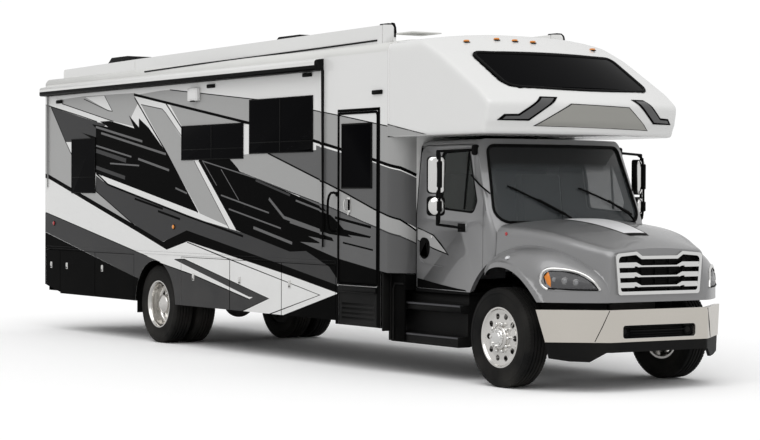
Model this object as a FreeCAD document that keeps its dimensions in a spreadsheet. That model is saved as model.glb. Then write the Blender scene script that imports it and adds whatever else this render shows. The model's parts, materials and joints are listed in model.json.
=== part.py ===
import FreeCAD, Part
import math
import os
import re

# A full-size motorhome on a two-axle truck chassis, in millimetres.
# Frame: +X forwards, +Y to the left, +Z up; the origin is on the floor,
# below the middle of the vehicle.

doc = FreeCAD.newDocument("Motorhome")
sheet = doc.addObject("Spreadsheet::Sheet", "Sizes")

# alias, value, what it is
SIZES = [
    ("rear_end", -6020, "rear face of the rear bumper"),
    ("front_end", 6020, "front face of the front bumper"),
    ("house_rear", -6000, "outer face of the rear wall"),
    ("house_front", 3200, "outer face of the front wall"),
    ("house_half", 1270, "half the width of the house"),
    ("wall", 45, "thickness of every house wall and of the entry door"),
    ("wall_top", 3510, "top of the side walls"),
    ("belt", 1150, "bottom of the side walls, above the compartment doors"),
    ("skirt", 530, "bottom of the compartment doors"),
    ("corner", 200, "radius of the front corners of the house"),
    ("floor_top", 1165, "top of the house floor"),
    ("floor_thick", 50, "thickness of the house floor"),
    ("roof_crown", 3690, "roof height along the centre line"),
    ("gap", 6, "gap round every door"),
    ("front_axle", 4930, "front axle, along the vehicle"),
    ("rear_axle", -2530, "rear axle, along the vehicle"),
    ("tyre_radius", 508, "outer radius of every tyre"),
    ("tyre_width", 274, "width of every tyre"),
    ("bead_radius", 298, "radius of the tyre bead seat"),
    ("front_track", 1060, "centre of a front tyre, from the centre line"),
    ("outer_dual", 1082, "centre of an outer rear tyre"),
    ("inner_dual", 748, "centre of an inner rear tyre"),
    ("kingpin", 850, "kingpin, from the centre line"),
    ("rail_out", 430, "outer face of a frame rail"),
    ("rail_low", 620, "bottom of the frame rails"),
    ("rail_high", 870, "top of the frame rails"),
    ("rail_sheet", 10, "thickness of the rail section"),
    ("rail_flange", 85, "width of the rail flanges"),
    ("arch_radius", 565, "radius of the rear wheel arch"),
    ("arch_height", 515, "height of the centre of the rear wheel arch"),
    ("front_arch", 690, "radius of the front wheel arch"),
    ("cab_arch", 835, "radius of the arch cut into the cab and its doors"),
    ("cab_half", 1030, "half the width of the cab"),
    ("cab_rear", 3207, "rear face of the cab"),
    ("cab_low", 905, "underside of the cab"),
    ("cab_roof", 2540, "top of the cab"),
    ("cab_skin", 50, "thickness of the cab's walls and doors"),
    ("screen_bow", 2500, "radius of the windshield, seen from above"),
    ("cowl_bow", 3200, "radius of the cowl, seen from above"),
    ("cap_rear", 3000, "rear edge of the sleeping cap over the cab"),
    ("cap_low", 2572, "underside of the cap"),
    ("cap_axis", 1600, "centre of the cap's curved front, along the vehicle"),
    ("cap_shell", 45, "thickness of the cap"),
    ("hood_skin", 22, "thickness of the hood"),
    ("hood_low", 890, "lower edge of the hood"),
    ("grille_back", 5955, "back of the grille"),
]
for row, (alias, number, meaning) in enumerate(SIZES, 1):
    sheet.set(f"A{row}", meaning)
    sheet.set(f"B{row}", str(number))
    sheet.setAlias(f"B{row}", alias)
doc.recompute()
ALIASES = {alias for alias, number, meaning in SIZES}
NODES = []


# ---- helpers -----------------------------------------------------------

def on_sheet(text):
    """An expression with every alias in it pointed at the sheet."""
    return re.sub(r"[a-z_]+", lambda w: f"Sizes.{w[0]}" if w[0] in ALIASES else w[0], str(text))


def val(text):
    """The number of millimetres that an expression comes to."""
    if isinstance(text, (int, float)):
        return float(text)
    return float(sheet.evalExpression(on_sheet(text)))


def bind(made, prop, text):
    made.setExpression(prop, on_sheet(text))


def place(made, x=0, y=0, z=0, axis=(0, 0, 1), turn=0):
    """Puts an object at a bound position, turned by some degrees about an axis."""
    made.Placement = FreeCAD.Placement(FreeCAD.Vector(val(x), val(y), val(z)),
                                       FreeCAD.Rotation(FreeCAD.Vector(*axis), turn))
    for name, text in zip("xyz", (x, y, z)):
        bind(made, f"Placement.Base.{name}", text)
    return made


def box(x, y, z, name="Block"):
    """A block; x, y and z each give its low and high side."""
    made = doc.addObject("Part::Box", name)
    for prop, (low, high) in zip(("Length", "Width", "Height"), (x, y, z)):
        bind(made, prop, f"({high}) - ({low})")
    return place(made, x[0], y[0], z[0])


TURN = {"x": ((0, 1, 0), 90), "y": ((1, 0, 0), -90), "z": ((0, 0, 1), 0)}


def rod(along, radius, start, length, x=0, y=0, z=0, name="Rod"):
    """A cylinder along one axis, from start, over length; the other two place it."""
    made = doc.addObject("Part::Cylinder", name)
    bind(made, "Radius", radius)
    bind(made, "Height", length)
    spot = {"x": x, "y": y, "z": z}
    spot[along] = start
    axis, turn = TURN[along]
    return place(made, spot["x"], spot["y"], spot["z"], axis, turn)


def ball(radius, x, y, z, name="Ball"):
    made = doc.addObject("Part::Sphere", name)
    bind(made, "Radius", radius)
    return place(made, x, y, z)


def cut(base, *tools):
    for tool in tools:
        made = doc.addObject("Part::Cut", "Cut")
        made.Base, made.Tool = base, tool
        base = made
    return base


def fuse(*shapes):
    if len(shapes) == 1:
        return shapes[0]
    made = doc.addObject("Part::MultiFuse", "Fusion")
    made.Shapes = list(shapes)
    return made


def common(*shapes):
    made = doc.addObject("Part::MultiCommon", "Common")
    made.Shapes = list(shapes)
    return made


def group(*shapes):
    """Solids that don't touch, kept as one node."""
    made = doc.addObject("Part::Compound", "Group")
    made.Links = list(shapes)
    return made


def mirrored(source):
    """The same piece on the other side of the vehicle."""
    made = doc.addObject("Part::Mirroring", "Mirrored")
    made.Source = source
    made.Normal = FreeCAD.Vector(0, 1, 0)
    return made


def both(source):
    return group(source, mirrored(source))


def node(name, made):
    """Names a finished sub-part."""
    made.Label = name
    NODES.append((name, made))
    return made


def outline(points):
    """Lines and fillet arcs through corners (u, v) or (u, v, radius)."""
    corners = [(FreeCAD.Vector(val(p[0]), val(p[1]), 0), val(p[2]) if len(p) > 2 else 0) for p in points]
    ends = []
    for i, (corner, radius) in enumerate(corners):
        before = (corners[i - 1][0] - corner).normalize()
        after = (corners[(i + 1) % len(corners)][0] - corner).normalize()
        if not radius:
            ends.append((corner, None, corner))
            continue
        half = before.getAngle(after) / 2
        reach = radius / math.tan(half)
        middle = (before + after).normalize()
        centre = corner + middle * (radius / math.sin(half))
        ends.append((corner + before * reach, centre - middle * radius, corner + after * reach))
    edges = []
    for i, (start, top, end) in enumerate(ends):
        last = ends[i - 1][2]
        if (start - last).Length > 1e-6:
            edges.append(Part.LineSegment(last, start))
        if top:
            edges.append(Part.Arc(start, top, end))
    return edges


def round_box(u, v, radius):
    return [(u[0], v[0], radius), (u[1], v[0], radius), (u[1], v[1], radius), (u[0], v[1], radius)]


def sketch(owner, plane, loops, offset=0):
    """A sketch on one of the body's origin planes; a loop is corners, or (u, v, radius) of a circle."""
    made = owner.newObject("Sketcher::SketchObject", "Sketch")
    role = f"{plane}_Plane"
    made.AttachmentSupport = [(f, "") for f in owner.Origin.OriginFeatures if f.Role == role][0]
    made.MapMode = "FlatFace"
    bind(made, "AttachmentOffset.Base.z", offset)
    for loop in loops:
        if len(loop) == 3 and not isinstance(loop[0], tuple):
            centre = FreeCAD.Vector(val(loop[0]), val(loop[1]), 0)
            made.addGeometry(Part.Circle(centre, FreeCAD.Vector(0, 0, 1), val(loop[2])), False)
        else:
            made.addGeometry(outline(loop), False)
    return made


def pad(plane, loops, length, offset=0, back=False, name="Panel"):
    """A body whose one sketch is padded; back turns the pad against the plane's normal."""
    owner = doc.addObject("PartDesign::Body", name)
    drawn = sketch(owner, plane, loops, offset)
    made = owner.newObject("PartDesign::Pad", "Pad")
    made.Profile = drawn
    made.Reversed = back
    bind(made, "Length", length)
    return owner


def side_panel(loops, outer, thick, name="Panel"):
    """A right-hand panel from its side view; outer is how far its outer face is from the centre line."""
    return pad("XZ", loops, thick, offset=outer, back=True, name=name)


def spun(points, name):
    """A body turned about the sketch's vertical axis from its half profile (radius, height)."""
    owner = doc.addObject("PartDesign::Body", name)
    drawn = sketch(owner, "XZ", [points])
    made = owner.newObject("PartDesign::Revolution", "Revolution")
    made.Profile = drawn
    made.ReferenceAxis = (drawn, ["V_Axis"])
    made.Angle = 360
    return owner


# ---- chassis -----------------------------------------------------------

def rail():
    """One C-section rail of the frame, open towards the middle."""
    web = "rail_out - rail_sheet"
    lip = "rail_out - rail_flange"
    section = [("-(rail_out)", "rail_low"), ("-(rail_out)", "rail_high"), (f"-({lip})", "rail_high"),
               (f"-({lip})", "rail_high - rail_sheet"), (f"-({web})", "rail_high - rail_sheet"),
               (f"-({web})", "rail_low + rail_sheet"), (f"-({lip})", "rail_low + rail_sheet"),
               (f"-({lip})", "rail_low")]
    return pad("YZ", [section], "5700 - house_rear - 150", offset="house_rear + 150", name="Rail")


def frame_rails():
    right = rail()
    cross = [box((x, x + 60), ("-(rail_out - rail_sheet)", "rail_out - rail_sheet"), (low, high))
             for x, low, high in ((-5800, 630, 860), (-4300, 700, 860), (-1500, 700, 860), (300, 700, 860),
                                  (2200, 700, 860), (5630, 630, 700))]
    arms = [box((5700, 5976), (s * 390 - 40, s * 390 + 40), (640, 790)) for s in (-1, 1)]
    hangers = []
    for axle, eye, reach in (("front_axle", 573, 88), ("rear_axle", 639, 108)):
        for way in (-690, 690):
            for side in (-1, 1):
                out = side * (430 + reach)
                hangers.append(box((f"{axle} + {way} - 35", f"{axle} + {way} + 35"),
                                   (min(out, side * 428), max(out, side * 428)), (eye, 740)))
    node("frame_rails", fuse(right, mirrored(right), *cross, *arms, *hangers, *hitch()))


def hitch():
    """A square receiver socket on a cross tube below the rear bumper."""
    socket = box(("rear_end + 5", -5740), (-32, 32), (488, 552))
    bore = box(("rear_end - 10", -5730), (-25.5, 25.5), (494.5, 545.5))
    pin = rod("y", 8, -60, 120, x=-5955, z=520)
    bar = box((-5800, -5736), (-420, 420), (552, 610))
    hangers = [box((-5806, -5730), (y, y + 12), (552, 626)) for y in (-432, 420)]
    return cut(socket, bore, pin), bar, *hangers


def springs():
    """Leaf packs under the rails: a main leaf, shorter leaves and two shackle eyes."""
    made = []
    for axle, seat, y in (("front_axle", 494, 480), ("rear_axle", 560, 500)):
        for side in (-1, 1):
            leaves = [box((f"{axle} - {half}", f"{axle} + {half}"), (side * y - 38, side * y + 38),
                          (seat + 14 * i, seat + 14 * i + 14)) for i, half in enumerate((300, 450, 600, 690))]
            eyes = [rod("y", 30, side * y - 38, 76, x=f"{axle} + {way * 690}", z=seat + 49) for way in (-1, 1)]
            made.append(fuse(*leaves, *eyes))
    return made[:2], made[2:]


def front_beam(packs):
    """A forged drop axle between the kingpins, which turn in its two end bosses."""
    drop = [("-(kingpin)", 462, 20), (-700, 462, 60), (-600, 400, 60), (600, 400, 60), (700, 462, 60),
            ("kingpin", 462, 20), ("kingpin", 548, 20), (700, 548, 60), (600, 494, 60), (-600, 494, 60),
            (-700, 548, 60), ("-(kingpin)", 548, 20)]
    beam = pad("YZ", [drop], 90, offset="front_axle - 45", name="Beam")
    boss = [rod("z", 48, 455, 100, x="front_axle", y=f"{s} * kingpin") for s in (-1, 1)]
    hole = [rod("z", 22.1, 440, 130, x="front_axle", y=f"{s} * kingpin") for s in (-1, 1)]
    node("front_axle", cut(fuse(beam, *boss, *packs), *hole))


def rear_drive(packs):
    tube = rod("y", 70, -590, 1180, x="rear_axle", z="tyre_radius")
    stub = rod("y", 45, -900, 1800, x="rear_axle", z="tyre_radius")
    bowl = ball(205, "rear_axle", 0, "tyre_radius")
    nose = rod("x", 95, "rear_axle + 120", 200, z="tyre_radius")
    seats = [box(("rear_axle - 60", "rear_axle + 60"), (s * 500 - 45, s * 500 + 45), (500, 560)) for s in (-1, 1)]
    shaft = [rod("x", 50, "rear_axle + 300", 5090, z="tyre_radius + 10"),
             rod("x", 70, "rear_axle + 318", 60, z="tyre_radius + 10"),
             rod("x", 70, "rear_axle + 2700", 90, z="tyre_radius + 10")]
    node("rear_axle", fuse(tube, stub, bowl, nose, *seats, *shaft, *packs))


def power():
    """The engine and its gearbox as one plain block, with the radiator and its shroud ahead of it."""
    engine = fuse(box((4480, 5380), (-330, 330), (600, 1210)), box((3500, 4480), (-240, 240), (560, 900)),
                  rod("x", 90, 2860, 640, z=620), box((4860, 4980), (-420, 420), (630, 700)))
    radiator = fuse(box((5600, 5690), (-520, 520), (870, 1290)), box((5380, 5600), (-300, 300), (700, 1150)))
    node("engine_block", fuse(engine, radiator))
    pipe = rod("x", 50, -1150, 1700, y=590, z=600)
    outlet = rod("z", 50, 400, 200, x=-1150, y=590)
    straps = [box((x, x + 40), (430, 520), (640, 700)) for x in (650, 1500)]
    node("exhaust", fuse(rod("x", 125, 550, 1100, y=590, z=600), pipe, outlet, ball(50, -1150, 590, 600), *straps))
    brackets = [box((x, x + 60), (430, 560), (640, 720)) for x in (2060, 2720)]
    node("fuel_tank", fuse(rod("x", 270, 1960, 920, y=760, z=735), *brackets))


# ---- wheels ------------------------------------------------------------

def tyre():
    """A tyre turned from its section: bead, side wall, shoulder and tread."""
    half = "tyre_width / 2"
    side = [("bead_radius", f"({half}) - 30"), ("bead_radius + 26", f"({half}) - 14"), ("tyre_radius - 110", half),
            ("tyre_radius - 40", f"({half}) - 6"), ("tyre_radius - 8", f"({half}) - 22"),
            ("tyre_radius", f"({half}) - 50")]
    other = [(radius, f"-({height})") for radius, height in side[::-1]]
    return spun(side + other, "Tyre")


def on_axle(made, axle, y, flip=False):
    """Turns a turned piece so that its axis runs across the vehicle, and puts it on an axle."""
    return place(made, axle, y, "tyre_radius", (1, 0, 0), 90 if flip else -90)


def disc(dish, rim_out, rim_in, hub):
    """A forged wheel: rim, a dished disc with ten hand holes and a hub.
    Heights run outwards from the tyre's centre plane."""
    seat = "bead_radius - 0.5"
    rim = [("bead_radius - 22", -rim_in), (seat, -rim_in), (seat, rim_out + 3),
           ("bead_radius + 10", rim_out + 10), ("bead_radius + 10", rim_out + 18), ("bead_radius - 4", rim_out + 18),
           ("bead_radius - 22", rim_out - 10), ("bead_radius - 34", dish + 30), ("bead_radius - 60", dish + 20),
           (150, dish + 26), (120, dish + 30), (118, hub), (60, hub + 30), (0, hub + 34), (0, dish - 10),
           (130, dish - 10), ("bead_radius - 70", dish - 14), ("bead_radius - 36", dish - 40)]
    owner = spun(rim, "Wheel")
    hole = sketch(owner, "XY", [(220, 0, 30)], offset=dish - 100)
    pocket = owner.newObject("PartDesign::Pocket", "HandHole")
    pocket.Profile = hole
    pocket.Type = 0
    pocket.Length = 260
    pocket.Reversed = True
    ring = owner.newObject("PartDesign::PolarPattern", "HandHoles")
    ring.Originals = [pocket]
    ring.Axis = (hole, ["N_Axis"])
    ring.Angle = 360
    ring.Occurrences = 10
    owner.Tip = ring
    return owner


def wheels():
    for side, name in ((-1, "right"), (1, "left")):
        outward = side < 0
        node(f"front_tyre_{name}", on_axle(tyre(), "front_axle", f"{side} * front_track"))
        disc_front = on_axle(disc(70, 106, 100, 130), "front_axle", f"{side} * front_track", flip=outward)
        hub = cut(rod("y", 190, "front_track - 62", 124, x="front_axle", z="tyre_radius"),
                  rod("y", 37, "front_track - 70", 125, x="front_axle", z="tyre_radius"))
        node(f"front_wheel_{name}", fuse(disc_front, mirrored(hub) if side < 0 else hub))
        outer = on_axle(tyre(), "rear_axle", f"{side} * outer_dual")
        inner = on_axle(tyre(), "rear_axle", f"{side} * inner_dual")
        node(f"rear_tyres_{name}", group(outer, inner))
        rim = on_axle(disc(-70, 106, 120, 60), "rear_axle", f"{side} * outer_dual", flip=outward)
        drum = rod("y", "bead_radius - 0.5", "inner_dual - 110", 220, x="rear_axle", z="tyre_radius")
        bore = rod("y", 215, "inner_dual - 120", 200, x="rear_axle", z="tyre_radius")
        hub = rod("y", 46, "inner_dual + 60", 100, x="rear_axle", z="tyre_radius")
        if side < 0:
            drum, bore, hub = mirrored(drum), mirrored(bore), mirrored(hub)
        node(f"rear_wheels_{name}", group(rim, cut(drum, bore, hub)))


def knuckle(side):
    """A right-hand steering knuckle, mirrored for the left: kingpin, yoke, spindle and steering arm."""
    around = ("front_axle - 50", "front_axle + 50")
    pin = rod("z", 22, 420, 170, x="front_axle", y="-(kingpin)")
    top = box(around, ("-(kingpin) - 110", "-(kingpin) + 50"), (560, 590))
    low = box(around, ("-(kingpin) - 110", "-(kingpin) + 50"), (420, 450))
    back = box(("front_axle - 70", "front_axle + 70"), ("-(kingpin) - 110", "-(kingpin) - 56"), (420, 590))
    spindle = rod("y", 36, "-(kingpin) - 250", 190, x="front_axle", z="tyre_radius")
    arm = box(("front_axle - 240", "front_axle - 40"), ("-(kingpin) - 22", "-(kingpin) + 22"), (424, 448))
    eye = rod("z", 26, 424, 24, x="front_axle - 240", y="-(kingpin)")
    stud = rod("z", 12, 380, 50, x="front_axle - 240", y="-(kingpin)")
    made = fuse(pin, top, low, back, spindle, arm, eye, stud)
    return made if side < 0 else mirrored(made)


def steering():
    for side, name in ((-1, "right"), (1, "left")):
        node(f"knuckle_{name}", knuckle(side))
    bar = rod("y", 18, -824, 1648, x="front_axle - 240", z=398)
    eyes = [rod("z", 28, 384, 28, x="front_axle - 240", y=s * 850) for s in (-1, 1)]
    holes = [rod("z", 12.1, 370, 60, x="front_axle - 240", y=s * 850) for s in (-1, 1)]
    node("tie_rod", cut(fuse(bar, *eyes), *holes))


# ---- house -------------------------------------------------------------

RIGHT_WINDOWS = [(-5073, -4333, 1980, 2710), (-1753, -183, 2400, 2805), (-3, 1437, 2455, 3075)]
LEFT_WINDOWS = [(-5073, -4333, 1980, 2710), (-1753, -183, 2400, 2805), (1197, 2637, 2455, 3075)]
ENTRY = (2017, 2797, 960, 2850)
# compartment doors of one side: rear edge, front edge
RIGHT_DOORS = [(-5955, -5484), (-5476, -4334), (-4326, -3127), (-1779, -507), (-499, 743), (751, 1946)]
LEFT_DOORS = [(-4326, -3127), (-1779, -507), (751, 1946)]


def right_wall():
    skin = [("house_rear + wall", "wall_top"), ("house_front - corner", "wall_top"),
            ("house_front - corner", 1100), (2880, 1100), (2880, 490), (1950, 490), (1950, "belt"),
            (-1783, "belt"), (-1783, "skirt"), (-3123, "skirt"), (-3123, "belt"), ("house_rear + wall", "belt")]
    holes = [round_box((w[0], w[1]), (w[2], w[3]), 40) for w in RIGHT_WINDOWS]
    holes.append(round_box((ENTRY[0], ENTRY[1]), (ENTRY[2], ENTRY[3]), 40))
    panel = side_panel([skin] + holes, "house_half", "wall")
    arch = rod("y", "arch_radius", -1400, 300, x="rear_axle + 20", z="arch_height")
    well = box((2017, 2797), (-1300, -1200), (480, 930))
    x0, x1, z0, z1 = ENTRY
    ring = side_panel([round_box((x0 - 20, x1 + 20), (z0 - 20, z1 + 20), 44), round_box((x0, x1), (z0, z1), 40)],
                      "house_half + 12", 12)
    node("right_wall", fuse(cut(panel, arch, well), ring))


def left_wall():
    skin = [("house_rear + wall", "wall_top"), ("house_front - corner", "wall_top"),
            ("house_front - corner", 1100), (2880, 1100), (2880, "skirt"), (1950, "skirt"), (1950, "belt"),
            (747, "belt"), (747, "skirt"), (-503, "skirt"), (-503, "belt"), (-1783, "belt"), (-1783, "skirt"),
            (-3123, "skirt"), (-3123, "belt"), (-4330, "belt"), (-4330, "skirt + 20"), (-5400, "skirt + 20"),
            ("house_rear + wall", 640)]
    holes = [round_box((w[0], w[1]), (w[2], w[3]), 40) for w in LEFT_WINDOWS]
    panel = side_panel([skin] + holes, "house_half", "wall")
    arch = rod("y", "arch_radius", -1400, 300, x="rear_axle + 20", z="arch_height")
    node("left_wall", mirrored(cut(panel, arch)))


def end_walls():
    edge = "house_half"
    plan = [("house_rear", f"-({edge})", 40), ("house_rear + wall", f"-({edge})"),
            ("house_rear + wall", edge), ("house_rear", edge, 40)]
    back = pad("XY", [plan], "wall_top - 640", offset=640, name="RearWall")
    hole = box((-6100, -5900), (-560, 560), (2050, 2700))
    node("rear_wall", cut(back, hole))
    inner = "corner - wall"
    plan = [("house_front - corner", f"-({edge})"), ("house_front", f"-({edge})", "corner"),
            ("house_front", edge, "corner"), ("house_front - corner", edge),
            ("house_front - corner", f"{edge} - wall"), ("house_front - wall", f"{edge} - wall", inner),
            ("house_front - wall", f"-({edge} - wall)", inner), ("house_front - corner", f"-({edge} - wall)")]
    front = pad("XY", [plan], "cap_low - 1100", offset=1100, name="FrontWall")
    passage = box((3100, 3300), (-760, 760), (1250, 2500))
    node("front_wall", cut(front, passage))


def house_floor():
    slab = box(("house_rear + wall", "house_front - wall"), ("-(house_half - wall)", "house_half - wall"),
               ("floor_top - floor_thick", "floor_top"))
    wells = [box((-3119, -1785), (s * 902 - 322, s * 902 + 340), (1000, 1300)) for s in (-1, 1)]
    steps = box((2017, 2797), (-1300, -900), (1000, 1300))
    trim = [box((3000, 3200), (s * 1200 - 130, s * 1200 + 130), (1000, 1300)) for s in (-1, 1)]
    liners = []
    for s in (-1, 1):
        shell = box((-3119, -1785), (s * 902 - 322, s * 902 + 322), (560, "floor_top"))
        inside = box((-3105, -1799), (s * 902 - 340, s * 902 + 340), (550, "floor_top - 25"))
        liners.append(cut(shell, inside))
    flaps = [box((-3118, -3108), (s * 915 - 310, s * 915 + 310), (370, 700)) for s in (-1, 1)]
    node("house_floor", fuse(cut(slab, *wells, steps, *trim), *liners, *flaps))


def roof():
    """A crowned roof, rounded down to the tops of the side walls; gives its form for what stands on it."""
    form = crowned("house_rear", "cap_rear - house_rear", "wall_top")
    inside = box(("house_rear + wall", "cap_rear + 10"), ("-(house_half - wall)", "house_half - wall"),
                 ("wall_top - 5", "wall_top + 60"))
    node("roof", cut(form, inside))
    return form


def roof_gear(form):
    """Air conditioners, vents and the fairings along both edges of the roof, all fitted to its crown."""
    units = [pad("XZ", [[(x - 430, 3650), (x - 440, 3860, 60), (x - 300, 3950, 60), (x + 250, 3950, 80),
                         (x + 440, 3790, 40), (x + 440, 3650)]], 680, offset=-340, name="AirUnit")
             for x in (-5440, -620)]
    vents = [pad("XY", [round_box((x - 200, x + 200), (-200, 200), 40)], 180, offset=3650, name="Vent")
             for x in (-3200, 1700)]
    node("roof_units", group(*[cut(made, form) for made in units + vents]))
    edge = [(-5430, 3732), (-3290, 3760), (-3275, 3760), (2755, 3812), (2770, 3815), (2985, 3800)]
    rails = []
    for (low, left), (high, right) in zip(edge[::2], edge[1::2]):
        side = [(low, 3580), (low, left, 45 if low < -5000 else 0), (high, right, 60 if high > 2900 else 0),
                (high, 3580)]
        rails.append(cut(pad("XZ", [side], 34, offset=1152, name="Fairing"), form))
    node("roof_fairings", group(*[both(r) for r in rails]))


def awning():
    """A roll-out awning closed in its case, with its two folded arms."""
    case = pad("YZ", [[(-1270, 3500, 10), (-1400, 3480, 40), (-1400, 3360, 20), (-1270, 3360, 5)]],
               "1680 - house_rear", offset="house_rear", name="Case")
    arms = [box((x, x + 50), (-1315, -1270), (low, 3365)) for x, low in ((1640, 1350), (-5940, 2050))]
    node("awning", fuse(case, *arms))


def pane(x0, x1, z0, z1, rim=16, sill=5):
    """A framed pane of dark glass that fills its hole and laps the wall's face."""
    plug = side_panel([round_box((x0 + 1, x1 - 1), (z0 + 1, z1 - 1), 39)], "house_half", 30)
    lap = side_panel([round_box((x0 - rim, x1 + rim), (z0 - rim, z1 + rim), 40)], "house_half + 8", 8)
    return fuse(plug, lap)


def house_windows():
    rear = box(("house_rear + 5", "house_rear + 35"), (-560, 560), (2050, 2700))
    node("house_windows", group(*[pane(*w) for w in RIGHT_WINDOWS], *[mirrored(pane(*w)) for w in LEFT_WINDOWS], rear))


def entry():
    x0, x1, z0, z1 = ENTRY
    glass = (2087, 2687, 2030, 2730)
    leaf = side_panel([round_box((f"{x0} + gap", f"{x1} - gap"), (f"{z0} + gap", f"{z1} - gap"), 34),
                       round_box(glass[:2], glass[2:], 30)], "house_half", "wall")
    node("entry_door", leaf)
    node("entry_door_glass", side_panel([round_box(glass[:2], glass[2:], 30)], "house_half + 4", 24))
    block = box((2020, 2794), (-1268, -960), (490, 868))
    louvres = [box((2080, 2734), (-1290, -1256), (z, z + 24)) for z in (560, 612, 664, 716)]
    return fuse(cut(block, *louvres), box((2020, 2794), (-1288, -960), (868, 924)))


def storage():
    """An open-fronted storage box behind each compartment door."""
    bays = []
    for table, put in ((RIGHT_DOORS, list), (LEFT_DOORS, lambda made: [mirrored(made[0])])):
        for low, high in table:
            bay = cut(box((low + 12, high - 6), (-1232, -740), (560, 1115)),
                      box((low + 22, high - 16), (-1240, -750), (570, 1103)))
            bays += put([bay])
    node("storage_boxes", group(*bays))


def compartment_doors():
    """Flush doors hinged at their front edges; the rearmost one is cut up at its lower corner."""
    for name, table in (("right", RIGHT_DOORS), ("left", LEFT_DOORS)):
        for i, (low, high) in enumerate(table, 1):
            shape = [(low + 3, 1143), (high - 3, 1143), (high - 3, "skirt"), (low + 3, "skirt")]
            if low < -5500:
                shape[-2:] = [(high - 3, "skirt + 20"), (low + 3, "skirt + 105")]
            leaf = side_panel([shape], "house_half", 30)
            node(f"bay_door_{name}_{i}", leaf if name == "right" else mirrored(leaf))


# ---- cab ---------------------------------------------------------------

DOOR_HOLE = [(3215, 935, 20), (3215, 2485, 110), (4222, 2485, 50), (4438, 1850, 200), (4430, 922)]
DOOR_WINDOW = [(3655, 1800, 60), (3605, 2410, 60), (4100, 2420, 50), (4310, 1880, 60), (4260, 1760, 60)]
SCREEN = [(-985, 1660, 140), (-880, 2472, 80), (880, 2472, 80), (985, 1660, 140)]
CAB_SIDE = [("cab_half", 880), ("cab_half", 1740, 900), (955, "cab_roof", 100), (-955, "cab_roof", 100),
            ("-(cab_half)", 1740, 900), ("-(cab_half)", 880)]


def inset(points, distance):
    """The same outline moved inwards by a distance; its corners run clockwise."""
    moved, distance = [], val(distance)
    flat = [(val(p[0]), val(p[1])) for p in points]
    for i, (u, v) in enumerate(flat):
        lines = []
        for (au, av), (bu, bv) in ((flat[i - 1], (u, v)), ((u, v), flat[(i + 1) % len(flat)])):
            run = math.hypot(bu - au, bv - av)
            nu, nv = (bv - av) / run, -(bu - au) / run
            lines.append((nu, nv, nu * (au + nu * distance) + nv * (av + nv * distance)))
        (a, b, c), (d, e, f) = lines
        det = a * e - b * d
        moved.append(((c * e - b * f) / det, (a * f - c * d) / det) + tuple(points[i][2:]))
    return moved


def bowed(radius, x, z, tilt):
    """A wide cylinder whose front passes through (x, 0, z); tilt leans it back, in degrees."""
    made = doc.addObject("Part::Cylinder", "Bowed")
    bind(made, "Radius", radius)
    made.Height = 6000
    lean = math.radians(tilt)
    back = FreeCAD.Vector(math.cos(lean), 0, math.sin(lean)) * val(radius)
    along = FreeCAD.Vector(-math.sin(lean), 0, math.cos(lean)) * 3000
    made.Placement = FreeCAD.Placement(FreeCAD.Vector(x, 0, z) - back - along,
                                       FreeCAD.Rotation(FreeCAD.Vector(0, 1, 0), -tilt))
    return made


def screen_form(deep=0):
    """The windshield's bowed, leaning surface, some way below the outer one."""
    return bowed(f"screen_bow - {deep}", 4765 - 1.079 * deep, 1690, 22.2)


def cab():
    side = [("cab_rear", "cab_low"), ("cab_rear", "cab_roof", 60), (4470, "cab_roof", 60), (4850, 1650, 20),
            (4850, 1560), (4690, 1540), (4690, "cab_low")]
    form = common(pad("XZ", [side], "2 * cab_half", offset="-(cab_half)", name="CabProfile"),
                  pad("YZ", [CAB_SIDE], 1900, offset=3100, name="CabSection"),
                  screen_form(), bowed("cowl_bow", 4767, 1690, 0))
    inner = [("cab_rear - 50", 1050), ("cab_rear - 50", "cab_roof - 40"), (4420, "cab_roof - 40"),
             (4740, 1690), (4620, 1640), (4600, 1100), (4560, 1050)]
    room = common(pad("XZ", [inner], "2 * cab_half", offset="-(cab_half)", name="CabRoom"),
                  pad("YZ", [inset(CAB_SIDE[::-1], "cab_skin")], 1900, offset=3100, name="RoomSection"),
                  screen_form(40))
    well = rod("y", "cab_arch", -1100, 2200, x="front_axle", z=515)
    leaf = pad("XZ", [DOOR_HOLE], 2300, offset=-1150, name="DoorHoles")
    tunnel = box((3100, 4800), (-350, 350), (850, 1200))
    glass = pad("YZ", [SCREEN], 900, offset=4000, name="ScreenHole")
    node("cab_shell", cut(form, room, well, leaf, tunnel, glass))
    pane = common(pad("YZ", [inset(SCREEN, 1)], 900, offset=4000, name="Screen"), screen_form(4),
                  bowed("cowl_bow", 4765, 1690, 0))
    node("windshield", cut(pane, screen_form(18)))


def cab_steps(entry_steps):
    """The two step boxes below the cab doors, with the steps of the entry door."""
    step = [(-1145, 350, 10), (-1145, 450, 15), (-1015, 465), (-1015, 700), (-1110, 715, 10), (-1110, 780, 15),
            (-1000, 795), (-1000, 900), (-700, 900), (-700, 420), (-1000, 350)]
    flight = pad("YZ", [step], 1260, offset=2895, name="Steps")
    node("steps", group(flight, mirrored(flight), entry_steps))


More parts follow.
